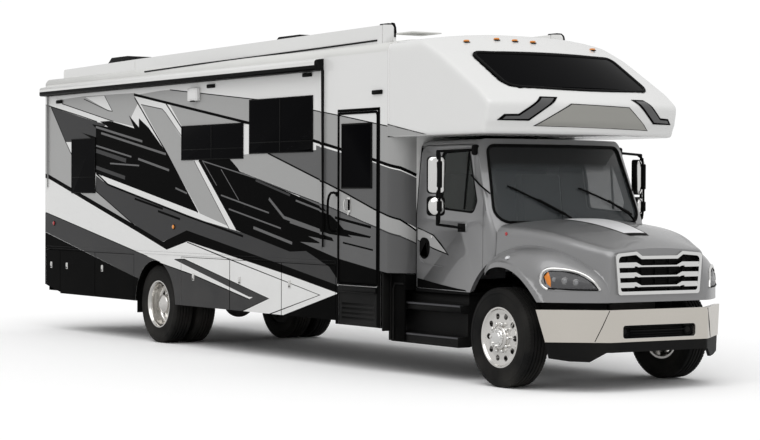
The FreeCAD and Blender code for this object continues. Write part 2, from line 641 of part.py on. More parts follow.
def cab_inside():
    board = common(pad("XZ", [[(4590, 1300), (4300, 1300, 40), (4180, 1480, 40), (4200, 1600, 60), (4400, 1650, 60),
                               (4560, 1660)]], 1940, offset=-970, name="Board"), screen_form(52))
    column = rod("x", 30, 3990, 260, y=480, z=1560)
    wheel = spun([(198, -10), (215, -18), (232, -10), (232, 10), (215, 18), (198, 10)], "SteeringWheel")
    place(wheel, 3990, 480, 1560, (0, 1, 0), 70)
    spokes = place(box((0, 430), (-20, 20), (-12, 12), "Spokes"), 3990, 265, 1560, (0, 0, 1), 90)
    node("dashboard", fuse(board, column, wheel, spokes))
    seats = []
    for y in (-480, 480):
        base = box((3450, 3850), (y - 180, y + 180), (1051, 1330))
        side = [(3400, 1320, 60), (3400, 1460, 40), (3330, 2020, 60), (3330, 2180, 60), (3450, 2180, 60),
                (3470, 2000, 60), (3540, 1480, 60), (3900, 1500, 60), (3900, 1360, 50), (3850, 1320, 20)]
        seats.append(fuse(base, pad("XZ", [side], 520, offset=-y - 260, name="Seat")))
    node("cab_seats", group(*seats))


def tube(points, radius):
    """A bent tube through corners: straight rods with a ball at each corner."""
    parts = []
    for (ax, ay, az), (bx, by, bz) in zip(points, points[1:]):
        run = FreeCAD.Vector(bx - ax, by - ay, bz - az)
        made = doc.addObject("Part::Cylinder", "Tube")
        made.Radius, made.Height = radius, run.Length
        made.Placement = FreeCAD.Placement(FreeCAD.Vector(ax, ay, az),
                                           FreeCAD.Rotation(FreeCAD.Vector(0, 0, 1), run))
        parts.append(made)
    parts += [ball(radius, *p) for p in points[1:-1]]
    return fuse(*parts)


def cab_doors():
    """Doors cut from the cab's leaning side, each with its glass and its mirror on a tube."""
    skin, pane = [common(pad("YZ", [inset(CAB_SIDE[::-1], low)], 1900, offset=3100, name="Skin"),
                         box((3100, 5000), (-1100, -880), (885, 2600))) for low in (0, 14)]
    core, back = [pad("YZ", [inset(CAB_SIDE[::-1], deep)], 1900, offset=3100, name="Core") for deep in ("cab_skin", 22)]
    shape = pad("XZ", [inset(DOOR_HOLE, 6), DOOR_WINDOW], 700, offset=500, name="Door")
    hole = pad("XZ", [inset(DOOR_WINDOW, 1)], 700, offset=500, name="DoorGlass")
    leaf = cut(common(skin, shape), core, box((3100, 5000), (-980, -800), (850, 1100)),
               rod("y", "cab_arch", -1100, 300, x="front_axle", z=515))
    glass = cut(common(pane, hole), back)
    loop = tube([(4160, -960, 2421), (4105, -1380, 2401), (4105, -1380, 1640), (4081, -1028, 1600)], 14)
    foot = box((4010, 4150), (-1050, -1028), (1560, 1650))
    heads = []
    for low, high in ((1960, 2350), (1730, 1935)):
        head = pad("YZ", [round_box((-92, 92), (low, high), 40)], 64, offset=-32, name="Head")
        heads.append(place(head, 4062, -1368, 0, (0, 0, 1), -25))
    door = fuse(leaf, loop, foot, *heads)
    for name, put in (("right", list), ("left", lambda made: [mirrored(made[0])])):
        node(f"cab_door_{name}", put([door])[0])
        node(f"cab_glass_{name}", put([glass])[0])


# ---- cap over the cab ----------------------------------------------------

CAP = [(0, "cap_low"), (3395, "cap_low", 20), (3412, 2650), (3440, 2700), (3475, 2900, 60), (3300, 3045, 500),
       (2666, 3444, 900), (2200, 3680, 600), (1300, 3720), (0, 3720)]


def crowned(start, length, low, shrink=0, name="Crowned"):
    """A long block with flat sides, rounded roof edges and a crowned top."""
    owner = doc.addObject("PartDesign::Body", name)
    drawn = owner.newObject("Sketcher::SketchObject", "Sketch")
    drawn.AttachmentSupport = [(f, "") for f in owner.Origin.OriginFeatures if f.Role == "YZ_Plane"][0]
    drawn.MapMode = "FlatFace"
    bind(drawn, "AttachmentOffset.Base.z", start)
    side, base = val("house_half") - shrink, val("wall_top")
    top, foot = val("roof_crown") - shrink, val(low)
    V = FreeCAD.Vector
    edge = V(side - 70, base + 100 - shrink, 0)
    bend = V(side - 18, base + 66 - shrink, 0)
    corner, sole = V(side, base, 0), V(side, foot, 0)

    def over(p):
        return V(-p.x, p.y, 0)
    lines = [Part.LineSegment(over(sole), sole)]
    if foot < base:
        lines += [Part.LineSegment(sole, corner), Part.LineSegment(over(corner), over(sole))]
    lines += [Part.Arc(corner, bend, edge), Part.Arc(edge, V(0, top, 0), over(edge)),
              Part.Arc(over(edge), over(bend), over(corner))]
    drawn.addGeometry(lines, False)
    made = owner.newObject("PartDesign::Pad", "Pad")
    made.Profile = drawn
    bind(made, "Length", length)
    return owner


def dome(shrink):
    """The cap's outer form: a profile turned about an upright axis behind the nose."""
    points = CAP if not shrink else inset(CAP[::-1], shrink)
    owner = doc.addObject("PartDesign::Body", "Dome")
    drawn = sketch(owner, "XZ", [points])
    made = owner.newObject("PartDesign::Revolution", "Turn")
    made.Profile = drawn
    made.ReferenceAxis = (drawn, ["V_Axis"])
    made.Angle = 110
    made.Midplane = True
    return place(owner, "cap_axis")


def cap():
    outer = common(dome(0), crowned("cap_rear", 2300, 2500))
    inner = common(dome(0), crowned("cap_rear - 10", 2300, 2500, 45))
    low = place(common(dome(0), crowned("cap_rear - 10", 2300, 2500, 45)), -45, 0, -45)
    window = pad("XY", [[(4080, -950, 60), (4260, 0, 3000), (4080, 950, 60), (4740, 940, 180), (4925, 0, 3500),
                         (4740, -940, 180)]], 800, offset=2960, name="WindowHole")
    floor = box((2900, 5200), (-1260, 1260), (2500, 2612))
    hollow = cut(low, floor)
    hatch = box((2990, 3900), (-760, 760), (2500, 2700))
    node("cabover_cap", cut(outer, hollow, window, hatch))
    skin = cut(common(dome(0), window), place(common(dome(0), crowned("cap_rear - 10", 2300, 2500)), -14, 0, -14))
    node("cabover_window", skin)


# ---- hood and front end --------------------------------------------------

# station; widest line of the fender (y, z); valley beside the hood; top of the hood's side; edge of its top; crown
FRONT = [(4440, (1085, 1130), (1035, 1235), (1028, 1500), (940, 1640), 1725),
         (4666, (1140, 1160), (1014, 1324), (1000, 1515), (900, 1645), 1715),
         (4950, (1185, 1180), (972, 1425), (957, 1515), (850, 1625), 1695),
         (5250, (1195, 1170), (914, 1438), (902, 1490), (790, 1585), 1655),
         (5500, (1165, 1130), (842, 1383), (834, 1455), (730, 1530), 1600),
         (5700, (1035, 1090), (757, 1287), (750, 1410), (650, 1475), 1545),
         (5880, (825, 1050), (670, 1165), (664, 1360), (570, 1430), 1475),
         (5985, (640, 915), (605, 960), (600, 1305), (510, 1390), 1425)]


def wire(x, points):
    """A closed section at a station: each run is a line or an arc through its (y, z) points."""
    edges = []
    for run in points:
        spots = [FreeCAD.Vector(x, *spot) for spot in run]
        edges.append((Part.Arc(*spots) if len(spots) == 3 else Part.LineSegment(*spots)).toShape())
    return Part.Wire(edges)


def bulge(start, end, skin):
    """The middle of an arc that leaves start upright and reaches end nearly level, less a skin."""
    part = math.sqrt(0.5)
    return (end[0] + (start[0] - end[0]) * part - skin * part, start[1] + (end[1] - start[1]) * part - skin * part)


def front_section(x, fender, valley, side, top, crown, low, skin):
    """The whole front at one station: fenders, valleys, the hood's sides and its crowned top."""
    runs = [[(fender[0] - skin, low), (fender[0] - skin, fender[1])],
            [(fender[0] - skin, fender[1]), bulge(fender, valley, skin), (valley[0] - skin, valley[1] - skin)],
            [(valley[0] - skin, valley[1] - skin), (side[0] - skin, side[1])],
            [(side[0] - skin, side[1]), bulge(side, top, skin), (top[0], top[1] - skin)]]
    over = [[(-y, z) for y, z in run[::-1]] for run in runs[::-1]]
    floor = [(-fender[0] + skin, low), (fender[0] - skin, low)]
    roof_arc = [(top[0], top[1] - skin), (0, crown - skin), (-top[0], top[1] - skin)]
    return wire(x, [floor] + runs + [roof_arc] + over)


def front_form(skin, low="hood_low"):
    """The hood and its two fenders as one form lofted through the stations, less a skin."""
    made = doc.addObject("Part::Feature", "FrontForm")
    sections = []
    for x, *spots in FRONT:
        shift = -40 if x == FRONT[0][0] and skin > 10 else -max(skin, 0) if x == FRONT[-1][0] else 0
        sections.append(front_section(x + shift, *spots, val(low), skin))
    made.Shape = Part.makeLoft(sections, True, False)
    return made


LAMP = [(-1128, 1150, 30), (-1080, 1207, 40), (-980, 1201, 60), (-840, 1154, 60), (-722, 1043, 15), (-735, 1016, 12),
        (-1070, 1021, 40), (-1110, 1070, 40)]
LAMP_EDGE = [(-1158, 1150, 50), (-1085, 1243, 60), (-960, 1230, 90), (-815, 1185, 80), (-690, 1006, 12),
             (-1100, 1004, 45)]
GRILLE = [(-529, 964, 30), (-570, 1374, 45), (-300, 1394, 15), (-229, 1351, 15), (229, 1351, 15), (300, 1394, 15),
          (570, 1374, 45), (529, 964, 30)]


def lamp_prism(shape, name):
    """A prism along the vehicle through the place of the right headlamp."""
    return pad("YZ", [shape], 700, offset=5480, name=name)


def hood():
    inside = front_form(val("hood_skin"), 800)
    arch = rod("y", "front_arch", -1300, 600, x="front_axle", z=530)
    lip = cut(common(front_form(-9), rod("y", "front_arch + 58", -1300, 330, x="front_axle", z=530)), inside)
    openings = [arch, mirrored(arch), pad("YZ", [GRILLE], 200, offset=5850, name="GrilleHole")]
    hole = lamp_prism(LAMP_EDGE, "LampHole")
    cab_side = box((4300, 4640), (-1036, 1036), (700, 2000))
    node("hood", cut(fuse(cut(front_form(0), inside), lip, mirrored(lip)), *openings, hole, mirrored(hole), cab_side,
                     bowed("cowl_bow + 8", 4775, 1600, 0)))
    lens = cut(common(front_form(4), lamp_prism(inset(LAMP, 1), "Lens")), front_form(24))
    rim = cut(common(front_form(-5), lamp_prism(inset(LAMP_EDGE, 1), "LampRim")), front_form(20),
              lamp_prism(LAMP, "RimHole"))
    node("headlights", both(lens))
    node("headlight_rims", both(rim))
    frame = pad("YZ", [inset(GRILLE, 1), inset(GRILLE, 34)], 58, offset="grille_back", name="GrilleFrame")
    bars = []
    for z in (1264, 1164, 1066):
        end = 512 + (z - 964) / 10
        top = [(-end, z + 20), (-300, z + 22), (-229, z - 10), (229, z - 10), (300, z + 22), (end, z + 20)]
        low = [(end, z - 18), (300, z - 18), (229, z - 40), (-229, z - 40), (-300, z - 18), (-end, z - 18)]
        bars.append(pad("YZ", [top + low], 46, offset="grille_back + 6", name="Bar"))
    node("grille", fuse(frame, *bars))


BUMPER = [(5560, -1220), (6020, -640, 80), (6020, 640, 80), (5560, 1220), (5520, 1190), (5978, 618, 60),
          (5978, -618, 60), (5520, -1190)]


def bumpers():
    bar = pad("XY", [BUMPER], 320, offset=500, name="Bumper")
    slot = pad("YZ", [round_box((-475, 475), (533, 665), 30)], 300, offset=5800, name="Slot")
    ends = pad("XZ", [[(5400, 490), (5626, 490), (5564, 830), (5400, 830)]], 2600, offset=-1300, name="SlantedEnds")
    node("front_bumper", cut(bar, slot, ends))
    dam = pad("XY", [inset(BUMPER[::-1], 6)], 194, offset=305, name="Dam")
    side = [(662, 400), (792, 307), (940, 312), (1086, 338), (1118, 499)]
    shape = pad("YZ", [[(-y, z) for y, z in side] + side[::-1]], 700, offset=5400, name="DamShape")
    node("air_dam", common(dam, shape))
    node("rear_bumper", fuse(box(("rear_end", "house_rear"), (-1180, 1180), (640, 790)),
                             box(("rear_end", -5950), (-1180, 1180), (612, 640))))
    lamps = [pad("YZ", [round_box((s * 1130 - 60, s * 1130 + 60), (1000, 1500), 30)], 15, offset="house_rear - 15",
                 name="RearLamp") for s in (-1, 1)]
    node("rear_lamps", group(*lamps))


# ---- build, check, write -------------------------------------------------

def main():
    frame_rails()
    front_packs, rear_packs = springs()
    front_beam(front_packs)
    rear_drive(rear_packs)
    power()
    wheels()
    steering()
    right_wall()
    left_wall()
    end_walls()
    house_floor()
    roof_gear(roof())
    awning()
    house_windows()
    entry_steps = entry()
    storage()
    compartment_doors()
    cab()
    cab_steps(entry_steps)
    cab_inside()
    cab_doors()
    cap()
    hood()
    bumpers()
    doc.recompute()
    for made in doc.Objects:
        if {"Invalid", "Error"} & set(made.State):
            raise RuntimeError(f"{made.Name} ({made.Label}) failed: {made.State}")
    os.makedirs("parts", exist_ok=True)
    for name, made in NODES:
        shape = made.Shape
        if shape.isNull() or not shape.isValid() or not shape.Solids:
            raise RuntimeError(f"{name} has no valid shape")
        shape.exportStep(f"parts/{name}.step")
        b = shape.BoundBox
        print(f"{name:22s} solids {len(shape.Solids):2d} volume {shape.Volume / 1e9:8.4f} m3 "
              f"x {b.XMin:7.0f} {b.XMax:7.0f} y {b.YMin:6.0f} {b.YMax:6.0f} z {b.ZMin:5.0f} {b.ZMax:5.0f}")


main()
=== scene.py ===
import json
import math

import bmesh
import bpy
from mathutils import Matrix, Vector
from mathutils.bvhtree import BVHTree
from mathutils.geometry import delaunay_2d_cdt

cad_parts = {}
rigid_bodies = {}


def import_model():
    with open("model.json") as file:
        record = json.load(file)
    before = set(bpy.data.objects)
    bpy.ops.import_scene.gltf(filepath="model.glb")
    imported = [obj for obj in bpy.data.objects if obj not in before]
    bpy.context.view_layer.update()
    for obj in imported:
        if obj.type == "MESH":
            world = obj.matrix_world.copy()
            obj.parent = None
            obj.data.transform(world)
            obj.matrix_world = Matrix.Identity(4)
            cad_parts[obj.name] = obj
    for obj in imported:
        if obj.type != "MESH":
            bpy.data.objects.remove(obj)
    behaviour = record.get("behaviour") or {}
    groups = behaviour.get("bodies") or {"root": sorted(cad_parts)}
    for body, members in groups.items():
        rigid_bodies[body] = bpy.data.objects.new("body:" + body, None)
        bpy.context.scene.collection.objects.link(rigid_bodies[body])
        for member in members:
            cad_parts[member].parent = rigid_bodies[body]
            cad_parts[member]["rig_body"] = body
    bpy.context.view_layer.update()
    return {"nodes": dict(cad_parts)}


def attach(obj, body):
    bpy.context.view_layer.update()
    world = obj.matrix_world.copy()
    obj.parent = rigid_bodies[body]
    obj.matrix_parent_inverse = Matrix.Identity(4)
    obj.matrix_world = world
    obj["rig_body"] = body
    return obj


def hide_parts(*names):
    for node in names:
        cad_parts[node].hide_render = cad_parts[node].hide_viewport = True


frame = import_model()

# %% [markdown]
# A big motorhome on a truck chassis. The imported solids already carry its
# shape, so this lesson dresses them: paint, glass, rubber and chrome as
# procedural materials, and the small pieces that make a vehicle look real,
# such as tread, wheel nuts, lamps, latches, wipers and trims.
# +X is forwards, +Y is the vehicle's left, and the floor is at Z = 0.

# %% Sizes that many cells share
SIDE = 1.27
FRONT_AXLE, REAR_AXLE, AXLE_HEIGHT = 4.93, -2.53, 0.508
HANDS = {"right": -1, "left": 1}
nodes = frame["nodes"]

# %% [markdown]
# A material is a graph of nodes. Writing node by node is long, so one class
# makes nodes and another lets Python's own operators add Math nodes: an
# expression such as 1 - mask * 0.5 then reads as the maths that it is.

# %% A graph of nodes, and sockets that take operators
class Field:
    """An output socket; an operator on it adds a Math node."""

    def __init__(self, graph, socket):
        self.graph, self.socket = graph, socket

    def maths(self, operation, *values):
        return self.graph.node("ShaderNodeMath", {"operation": operation}, dict(enumerate(values)))

    def __add__(self, other): return self.maths("ADD", self, other)
    def __radd__(self, other): return self.maths("ADD", other, self)
    def __sub__(self, other): return self.maths("SUBTRACT", self, other)
    def __rsub__(self, other): return self.maths("SUBTRACT", other, self)
    def __mul__(self, other): return self.maths("MULTIPLY", self, other)
    def __rmul__(self, other): return self.maths("MULTIPLY", other, self)
    def __gt__(self, other): return self.maths("GREATER_THAN", self, other)
    def __lt__(self, other): return self.maths("LESS_THAN", self, other)
    def __abs__(self): return self.maths("ABSOLUTE", self)

    def ramp(self, low, high):
        """0 below low, 1 above high, straight in between."""
        return self.graph.node("ShaderNodeMapRange", {"clamp": True},
                               {"Value": self, "From Min": low, "From Max": high})


class Graph:
    """Makes and joins nodes in one tree."""

    def __init__(self, tree):
        self.tree = tree

    def node(self, kind, settings=None, values=None, out=0):
        made = self.tree.nodes.new(kind)
        for key, value in (settings or {}).items():
            setattr(made, key, value)
        for key, value in (values or {}).items():
            self.put(made.inputs[key], value)
        return Field(self, made.outputs[out])

    def put(self, socket, value):
        if isinstance(value, Field):
            self.tree.links.new(value.socket, socket)
        else:
            socket.default_value = value


class Coat(Graph):
    """A material around one Principled shader."""

    def __init__(self, name, **constants):
        self.material = bpy.data.materials.new(name)
        self.material.use_nodes = True
        super().__init__(self.material.node_tree)
        self.shader = self.tree.nodes["Principled BSDF"]
        self.place = self.node("ShaderNodeTexCoord", out=3)
        parts = self.tree.nodes.new("ShaderNodeSeparateXYZ")
        self.tree.links.new(self.place.socket, parts.inputs[0])
        self.x, self.y, self.z = [Field(self, s) for s in parts.outputs]
        self.feed(**constants)

    def feed(self, **values):
        for key, value in values.items():
            self.put(self.shader.inputs[key.replace("_", " ").title().replace("Ior", "IOR")], value)
        return self

    def noise(self, scale, detail=3.0, stretch=(1, 1, 1)):
        spot = self.node("ShaderNodeMapping", values={"Vector": self.place, "Scale": stretch})
        return self.node("ShaderNodeTexNoise", values={"Vector": spot, "Scale": scale, "Detail": detail})

    def blend(self, mask, low, high):
        """The colour low where the mask is 0 and high where it is 1."""
        return self.node("ShaderNodeMix", {"data_type": "RGBA"}, {0: mask, 6: low, 7: high}, out=2)

    def bump(self, height, depth):
        return self.node("ShaderNodeBump", values={"Height": height, "Distance": depth, "Strength": 1.0})


print("graph and material helpers are ready")

# %% [markdown]
# Nearly every finish on a vehicle is a base colour that drifts a little,
# a gloss that is never even, a fine grain, and road dust that thickens
# towards the ground. One function gives all four, with amounts per finish.

# %% The finish function
DUST = (0.30, 0.28, 0.25, 1)


def shade(colour, amount):
    return tuple(min(1, c * amount) for c in colour[:3]) + (1,)


def finish(name, colour, rough, metallic=0.0, drift=0.06, drift_size=0.8, grain=0.0, grain_size=300.0, dust=0.0,
           second=None, stretch=(1, 1, 1), **fixed):
    """second is (another colour, a test on the coordinates that is 1 where that colour shows)."""
    coat = Coat(name, metallic=metallic, **fixed)
    drifting = coat.noise(drift_size, 4.0)
    tone = coat.blend(drifting, shade(colour, 1 - drift), shade(colour, 1 + drift))
    if second:
        other, test = second
        tone = coat.blend(test(coat), tone, shade(other, 1))
    if dust:
        film = (1 - coat.z.ramp(0.15, 1.5)) * coat.noise(2.2, 5.0).ramp(0.35, 0.7) * dust
        tone = coat.blend(film, tone, DUST)
        gloss = rough + (drifting - 0.5) * 0.1 + film * 0.5
    else:
        gloss = rough + (drifting - 0.5) * (0.12 if rough > 0.1 else 0.04)
    coat.feed(base_color=tone, roughness=gloss)
    if grain:
        coat.feed(normal=coat.bump(coat.noise(grain_size, 2.0, stretch), grain))
    return coat.material


print("finish(name, colour, roughness, ...) gives a material")

# %% [markdown]
# The paints share their values where the real ones share a recipe: the
# clear coat of the white ones, the fine metal flake of the greys, and the
# moulded grain inside every coloured lens. Keeping those in small
# dictionaries means that one number changes a whole family.

# %% The table of finishes
WHITE, SILVER, GREY = (0.84, 0.84, 0.83), (0.36, 0.36, 0.355), (0.095, 0.095, 0.096)
DARK, BLACK = (0.036, 0.036, 0.037), (0.003, 0.003, 0.003)
GLOSS = {"coat_weight": 0.6, "coat_roughness": 0.04, "specular_ior_level": 0.3}
FLAKE = {"grain": 0.0003, "grain_size": 1400}
LENS = {"rough": 0.2, "drift": 0.15, "drift_size": 40, "grain": 0.001, "grain_size": 220, "coat_weight": 0.8}
# Painted shade: near black on the lower half of the grille's three middle bars, at these heights and within this reach
# of the middle.
GRILLE_SHADE_BANDS, SHADE_REACH, SHADE_HALF = (1.2305, 1.1305, 1.0325), 0.262, 0.0085
CASE_FOOT = 3.42
FINISHES = {
    "white": finish("white_paint", WHITE, 0.34, drift=0.03, grain=0.0002, grain_size=900, dust=0.12, **GLOSS),
    "silver": finish("silver_paint", SILVER, 0.34, drift=0.04, dust=0.2, **FLAKE, **GLOSS),
    "grey": finish("grey_paint", GREY, 0.32, dust=0.1, coat_weight=0.3, coat_roughness=0.05, specular_ior_level=0.2,
                   **FLAKE),
    "dark": finish("dark_paint", DARK, 0.3, dust=0.1, coat_weight=0.05, coat_roughness=0.06, specular_ior_level=0.08,
                   **FLAKE),
    "black": finish("black_paint", BLACK, 0.3, drift=0.2, grain=0.0002, grain_size=900, dust=0.006,
                    specular_ior_level=0.006),
    "cab": finish("cab_metallic", (0.25, 0.25, 0.253), 0.36, metallic=0.5, drift=0.05, grain=0.0005,
                  grain_size=1800, dust=0.1, coat_weight=0.7, coat_roughness=0.04, specular_ior_level=0.5),
    # A painted highlight: a bright patch standing for the sky's reflection on the hood's crown.
    "pearl": finish("painted_hood_highlight", (0.86, 0.86, 0.87), 0.3, drift=0.04, coat_weight=0.2, coat_roughness=0.04,
                    **FLAKE),
    "gelcoat": finish("cap_gelcoat", (0.83, 0.83, 0.82), 0.24, drift=0.02, grain=0.0002, grain_size=600, **GLOSS),
    "roof": finish("roof_skin", (0.78, 0.78, 0.76), 0.55, grain=0.001, grain_size=160),
    "case": finish("awning_case", (0.83, 0.83, 0.82), 0.3, drift=0.03, grain=0.0003, grain_size=700,
                   second=((0.002, 0.002, 0.002), lambda c: c.z < CASE_FOOT), specular_ior_level=0.03),
    "badge": finish("badge_plate", (0.36, 0.355, 0.33), 0.34, metallic=0.35, drift=0.05, grain=0.0004,
                    grain_size=700),
    "rubber": finish("tyre_rubber", (0.007, 0.007, 0.007), 0.72, drift=0.25, drift_size=3, grain=0.0012,
                     grain_size=260, dust=0.10, specular_ior_level=0.1),
    "gasket": finish("gasket_rubber", (0.005, 0.005, 0.005), 0.6, drift=0.2, grain=0.0006, grain_size=500,
                     specular_ior_level=0.05),
    "plastic": finish("black_plastic", (0.006, 0.006, 0.006), 0.5, drift=0.15, grain=0.0016, grain_size=420,
                      dust=0.02, specular_ior_level=0.07),
    "dash": finish("dash_plastic", (0.06, 0.06, 0.065), 0.6, drift=0.12, grain=0.002, grain_size=500),
    "chassis": finish("chassis_black", (0.008, 0.008, 0.008), 0.55, drift=0.3, drift_size=2.5, grain=0.001,
                      grain_size=180, dust=0.08, specular_ior_level=0.08),
    "cast": finish("cast_iron", (0.04, 0.038, 0.036), 0.7, metallic=0.4, drift=0.3, drift_size=4, grain=0.003,
                   grain_size=140, dust=0.4),
    "steel": finish("plain_steel", (0.38, 0.38, 0.38), 0.4, metallic=0.9, drift=0.12, grain=0.0006, dust=0.2),
    "alloy": finish("polished_alloy", (0.70, 0.685, 0.66), 0.16, metallic=1.0, drift_size=5, grain=0.0002,
                    grain_size=500, dust=0.12, stretch=(1, 8, 1)),
    "tank": finish("tank_alloy", (0.6, 0.6, 0.6), 0.28, metallic=1.0, grain=0.0004, stretch=(6, 1, 1), dust=0.2),
    "chrome": finish("chrome_plate", (0.76, 0.755, 0.74), 0.08, metallic=1.0, drift=0.03, drift_size=2, dust=0.05),
    # Chrome whose warm beige colour is a painted reflection of warm surroundings.
    "bumper": finish("bumper_chrome_reflection_tint", (0.66, 0.625, 0.57), 0.2, metallic=0.9, drift=0.03, drift_size=2, dust=0.05),
    # The grille's chrome, with painted shade on the lower half of its middle bars.
    "grille": finish("grille_chrome", (0.80, 0.80, 0.79), 0.08, metallic=1.0, drift=0.03, drift_size=4,
                     second=((0.01, 0.01, 0.01), lambda c: (abs(c.y) < SHADE_REACH) * sum(
                         abs(c.z - z) < SHADE_HALF for z in GRILLE_SHADE_BANDS))),
    "amber": finish("amber_lens", (0.85, 0.28, 0.02), **LENS),
    "red": finish("red_lens", (0.42, 0.01, 0.015), **LENS),
    "lamp": finish("lamp_white", (0.85, 0.86, 0.88), 0.12, metallic=0.4, drift=0.1, drift_size=30, grain=0.001,
                   grain_size=260, coat_weight=0.8),
    "glass": finish("black_glass", (0.002, 0.002, 0.0025), 0.1, drift=0.3, drift_size=1.5,
                    specular_ior_level=0.008),
}
print(f"{len(FINISHES)} finishes")

# %% [markdown]
# Glass in the cab is see-through but dark: mostly transparent, with a clear
# reflection on top. Seat cloth is a weave, so its bump is two crossed waves
# a few millimetres apart, over a grey that drifts.

# %% Cab glass and seat cloth
def cab_glass(name, tint, clear, band=None, hue=(0.004, 0.004, 0.004, 1)):
    coat = Coat(name, metallic=0.0, specular_ior_level=0.35, coat_weight=0.1)
    streaks = coat.noise(1.3, 3.0)
    tone, opaque = coat.blend(streaks, shade(tint, 0.8), shade(tint, 1.2)), clear + (streaks - 0.5) * 0.04
    if band:
        mask = band(coat)
        tone, opaque = coat.blend(mask, tone, hue), opaque + mask * (1 - clear)
    coat.feed(base_color=tone, roughness=0.04 + streaks * 0.03, alpha=opaque)
    return coat.material


def seat_cloth():
    coat = Coat("seat_cloth", sheen_weight=0.3)
    across = coat.node("ShaderNodeTexWave", {"bands_direction": "Y"}, {"Vector": coat.place, "Scale": 90.0})
    down = coat.node("ShaderNodeTexWave", {"bands_direction": "Z"}, {"Vector": coat.place, "Scale": 90.0})
    weave = across * down
    coat.feed(base_color=coat.blend(weave, (0.10, 0.10, 0.105, 1), (0.19, 0.19, 0.195, 1)),
              roughness=0.85 - weave * 0.1, normal=coat.bump(weave, 0.002))
    return coat.material


BAND = (2.19, 2.29)
FINISHES["screen"] = cab_glass("windshield_glass", (0.075, 0.084, 0.088), 0.42, lambda c: c.z.ramp(*BAND) * 0.9)
FINISHES["cab_glass"] = cab_glass("door_glass", (0.03, 0.036, 0.032), 0.5)
FINISHES["lens"] = cab_glass("clear_lens", (0.15, 0.15, 0.155), 0.6, lambda c: abs(c.y) > 1.083,
                             (0.75, 0.24, 0.03, 1))
FINISHES["cloth"] = seat_cloth()
print("glass and cloth are ready")

# %% [markdown]
# Small pieces are made by one helper that collects blocks, rods, bent
# tubes, turned forms and plates in a single mesh. Every one is given in the
# vehicle's own coordinates, so a piece's object stays at the origin.

# %% Meshes, axes, and settling a piece in the scene
def linked(name, data):
    made = bpy.data.objects.new(name, data)
    bpy.context.scene.collection.objects.link(made)
    return made


def bmesh_of(mesh):
    bm = bmesh.new()
    bm.from_mesh(mesh)
    return bm


def mesh_of(bm, name):
    """A plain mesh from a bmesh, which is freed."""
    mesh = bpy.data.meshes.new(name)
    bm.to_mesh(mesh)
    bm.free()
    return mesh


def frame_of(along):
    """Three axes, the first along a direction."""
    along = Vector(along).normalized()
    side = Vector((1, 0, 0) if abs(along.z) > 0.99 else (0, 0, 1))
    second = side.cross(along).normalized()
    return along, second, along.cross(second)


def bridge(made, rings):
    """Walls between rings of the same count, with a lid on each end."""
    for one, two in zip(rings, rings[1:]):
        for i in range(len(one)):
            k = (i + 1) % len(one)
            made.faces.new([one[i], one[k], two[k], two[i]])
    made.faces.new(rings[0])
    made.faces.new(rings[-1])


def settle(name, mesh, body, finishes, angle, slot, replaces=()):
    """Puts a finished mesh in the scene as a piece that rides on a body."""
    for coat in finishes:
        mesh.materials.append(FINISHES[coat])
    mesh.shade_smooth()
    mesh.set_sharp_from_angle(angle=math.radians(angle))
    made = linked(name, mesh)
    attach(made, body)
    if replaces:
        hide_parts(*replaces)
    print(f"{name}: {len(mesh.polygons)} faces on {body}")
    return made


print("helpers for meshes and pieces are ready")

# %% [markdown]
# The collector itself: each method builds one form in a mesh of its own,
# points its faces outwards, gives them a finish and adds them to the piece,
# with a mirror image on the vehicle's other side where that is asked for.

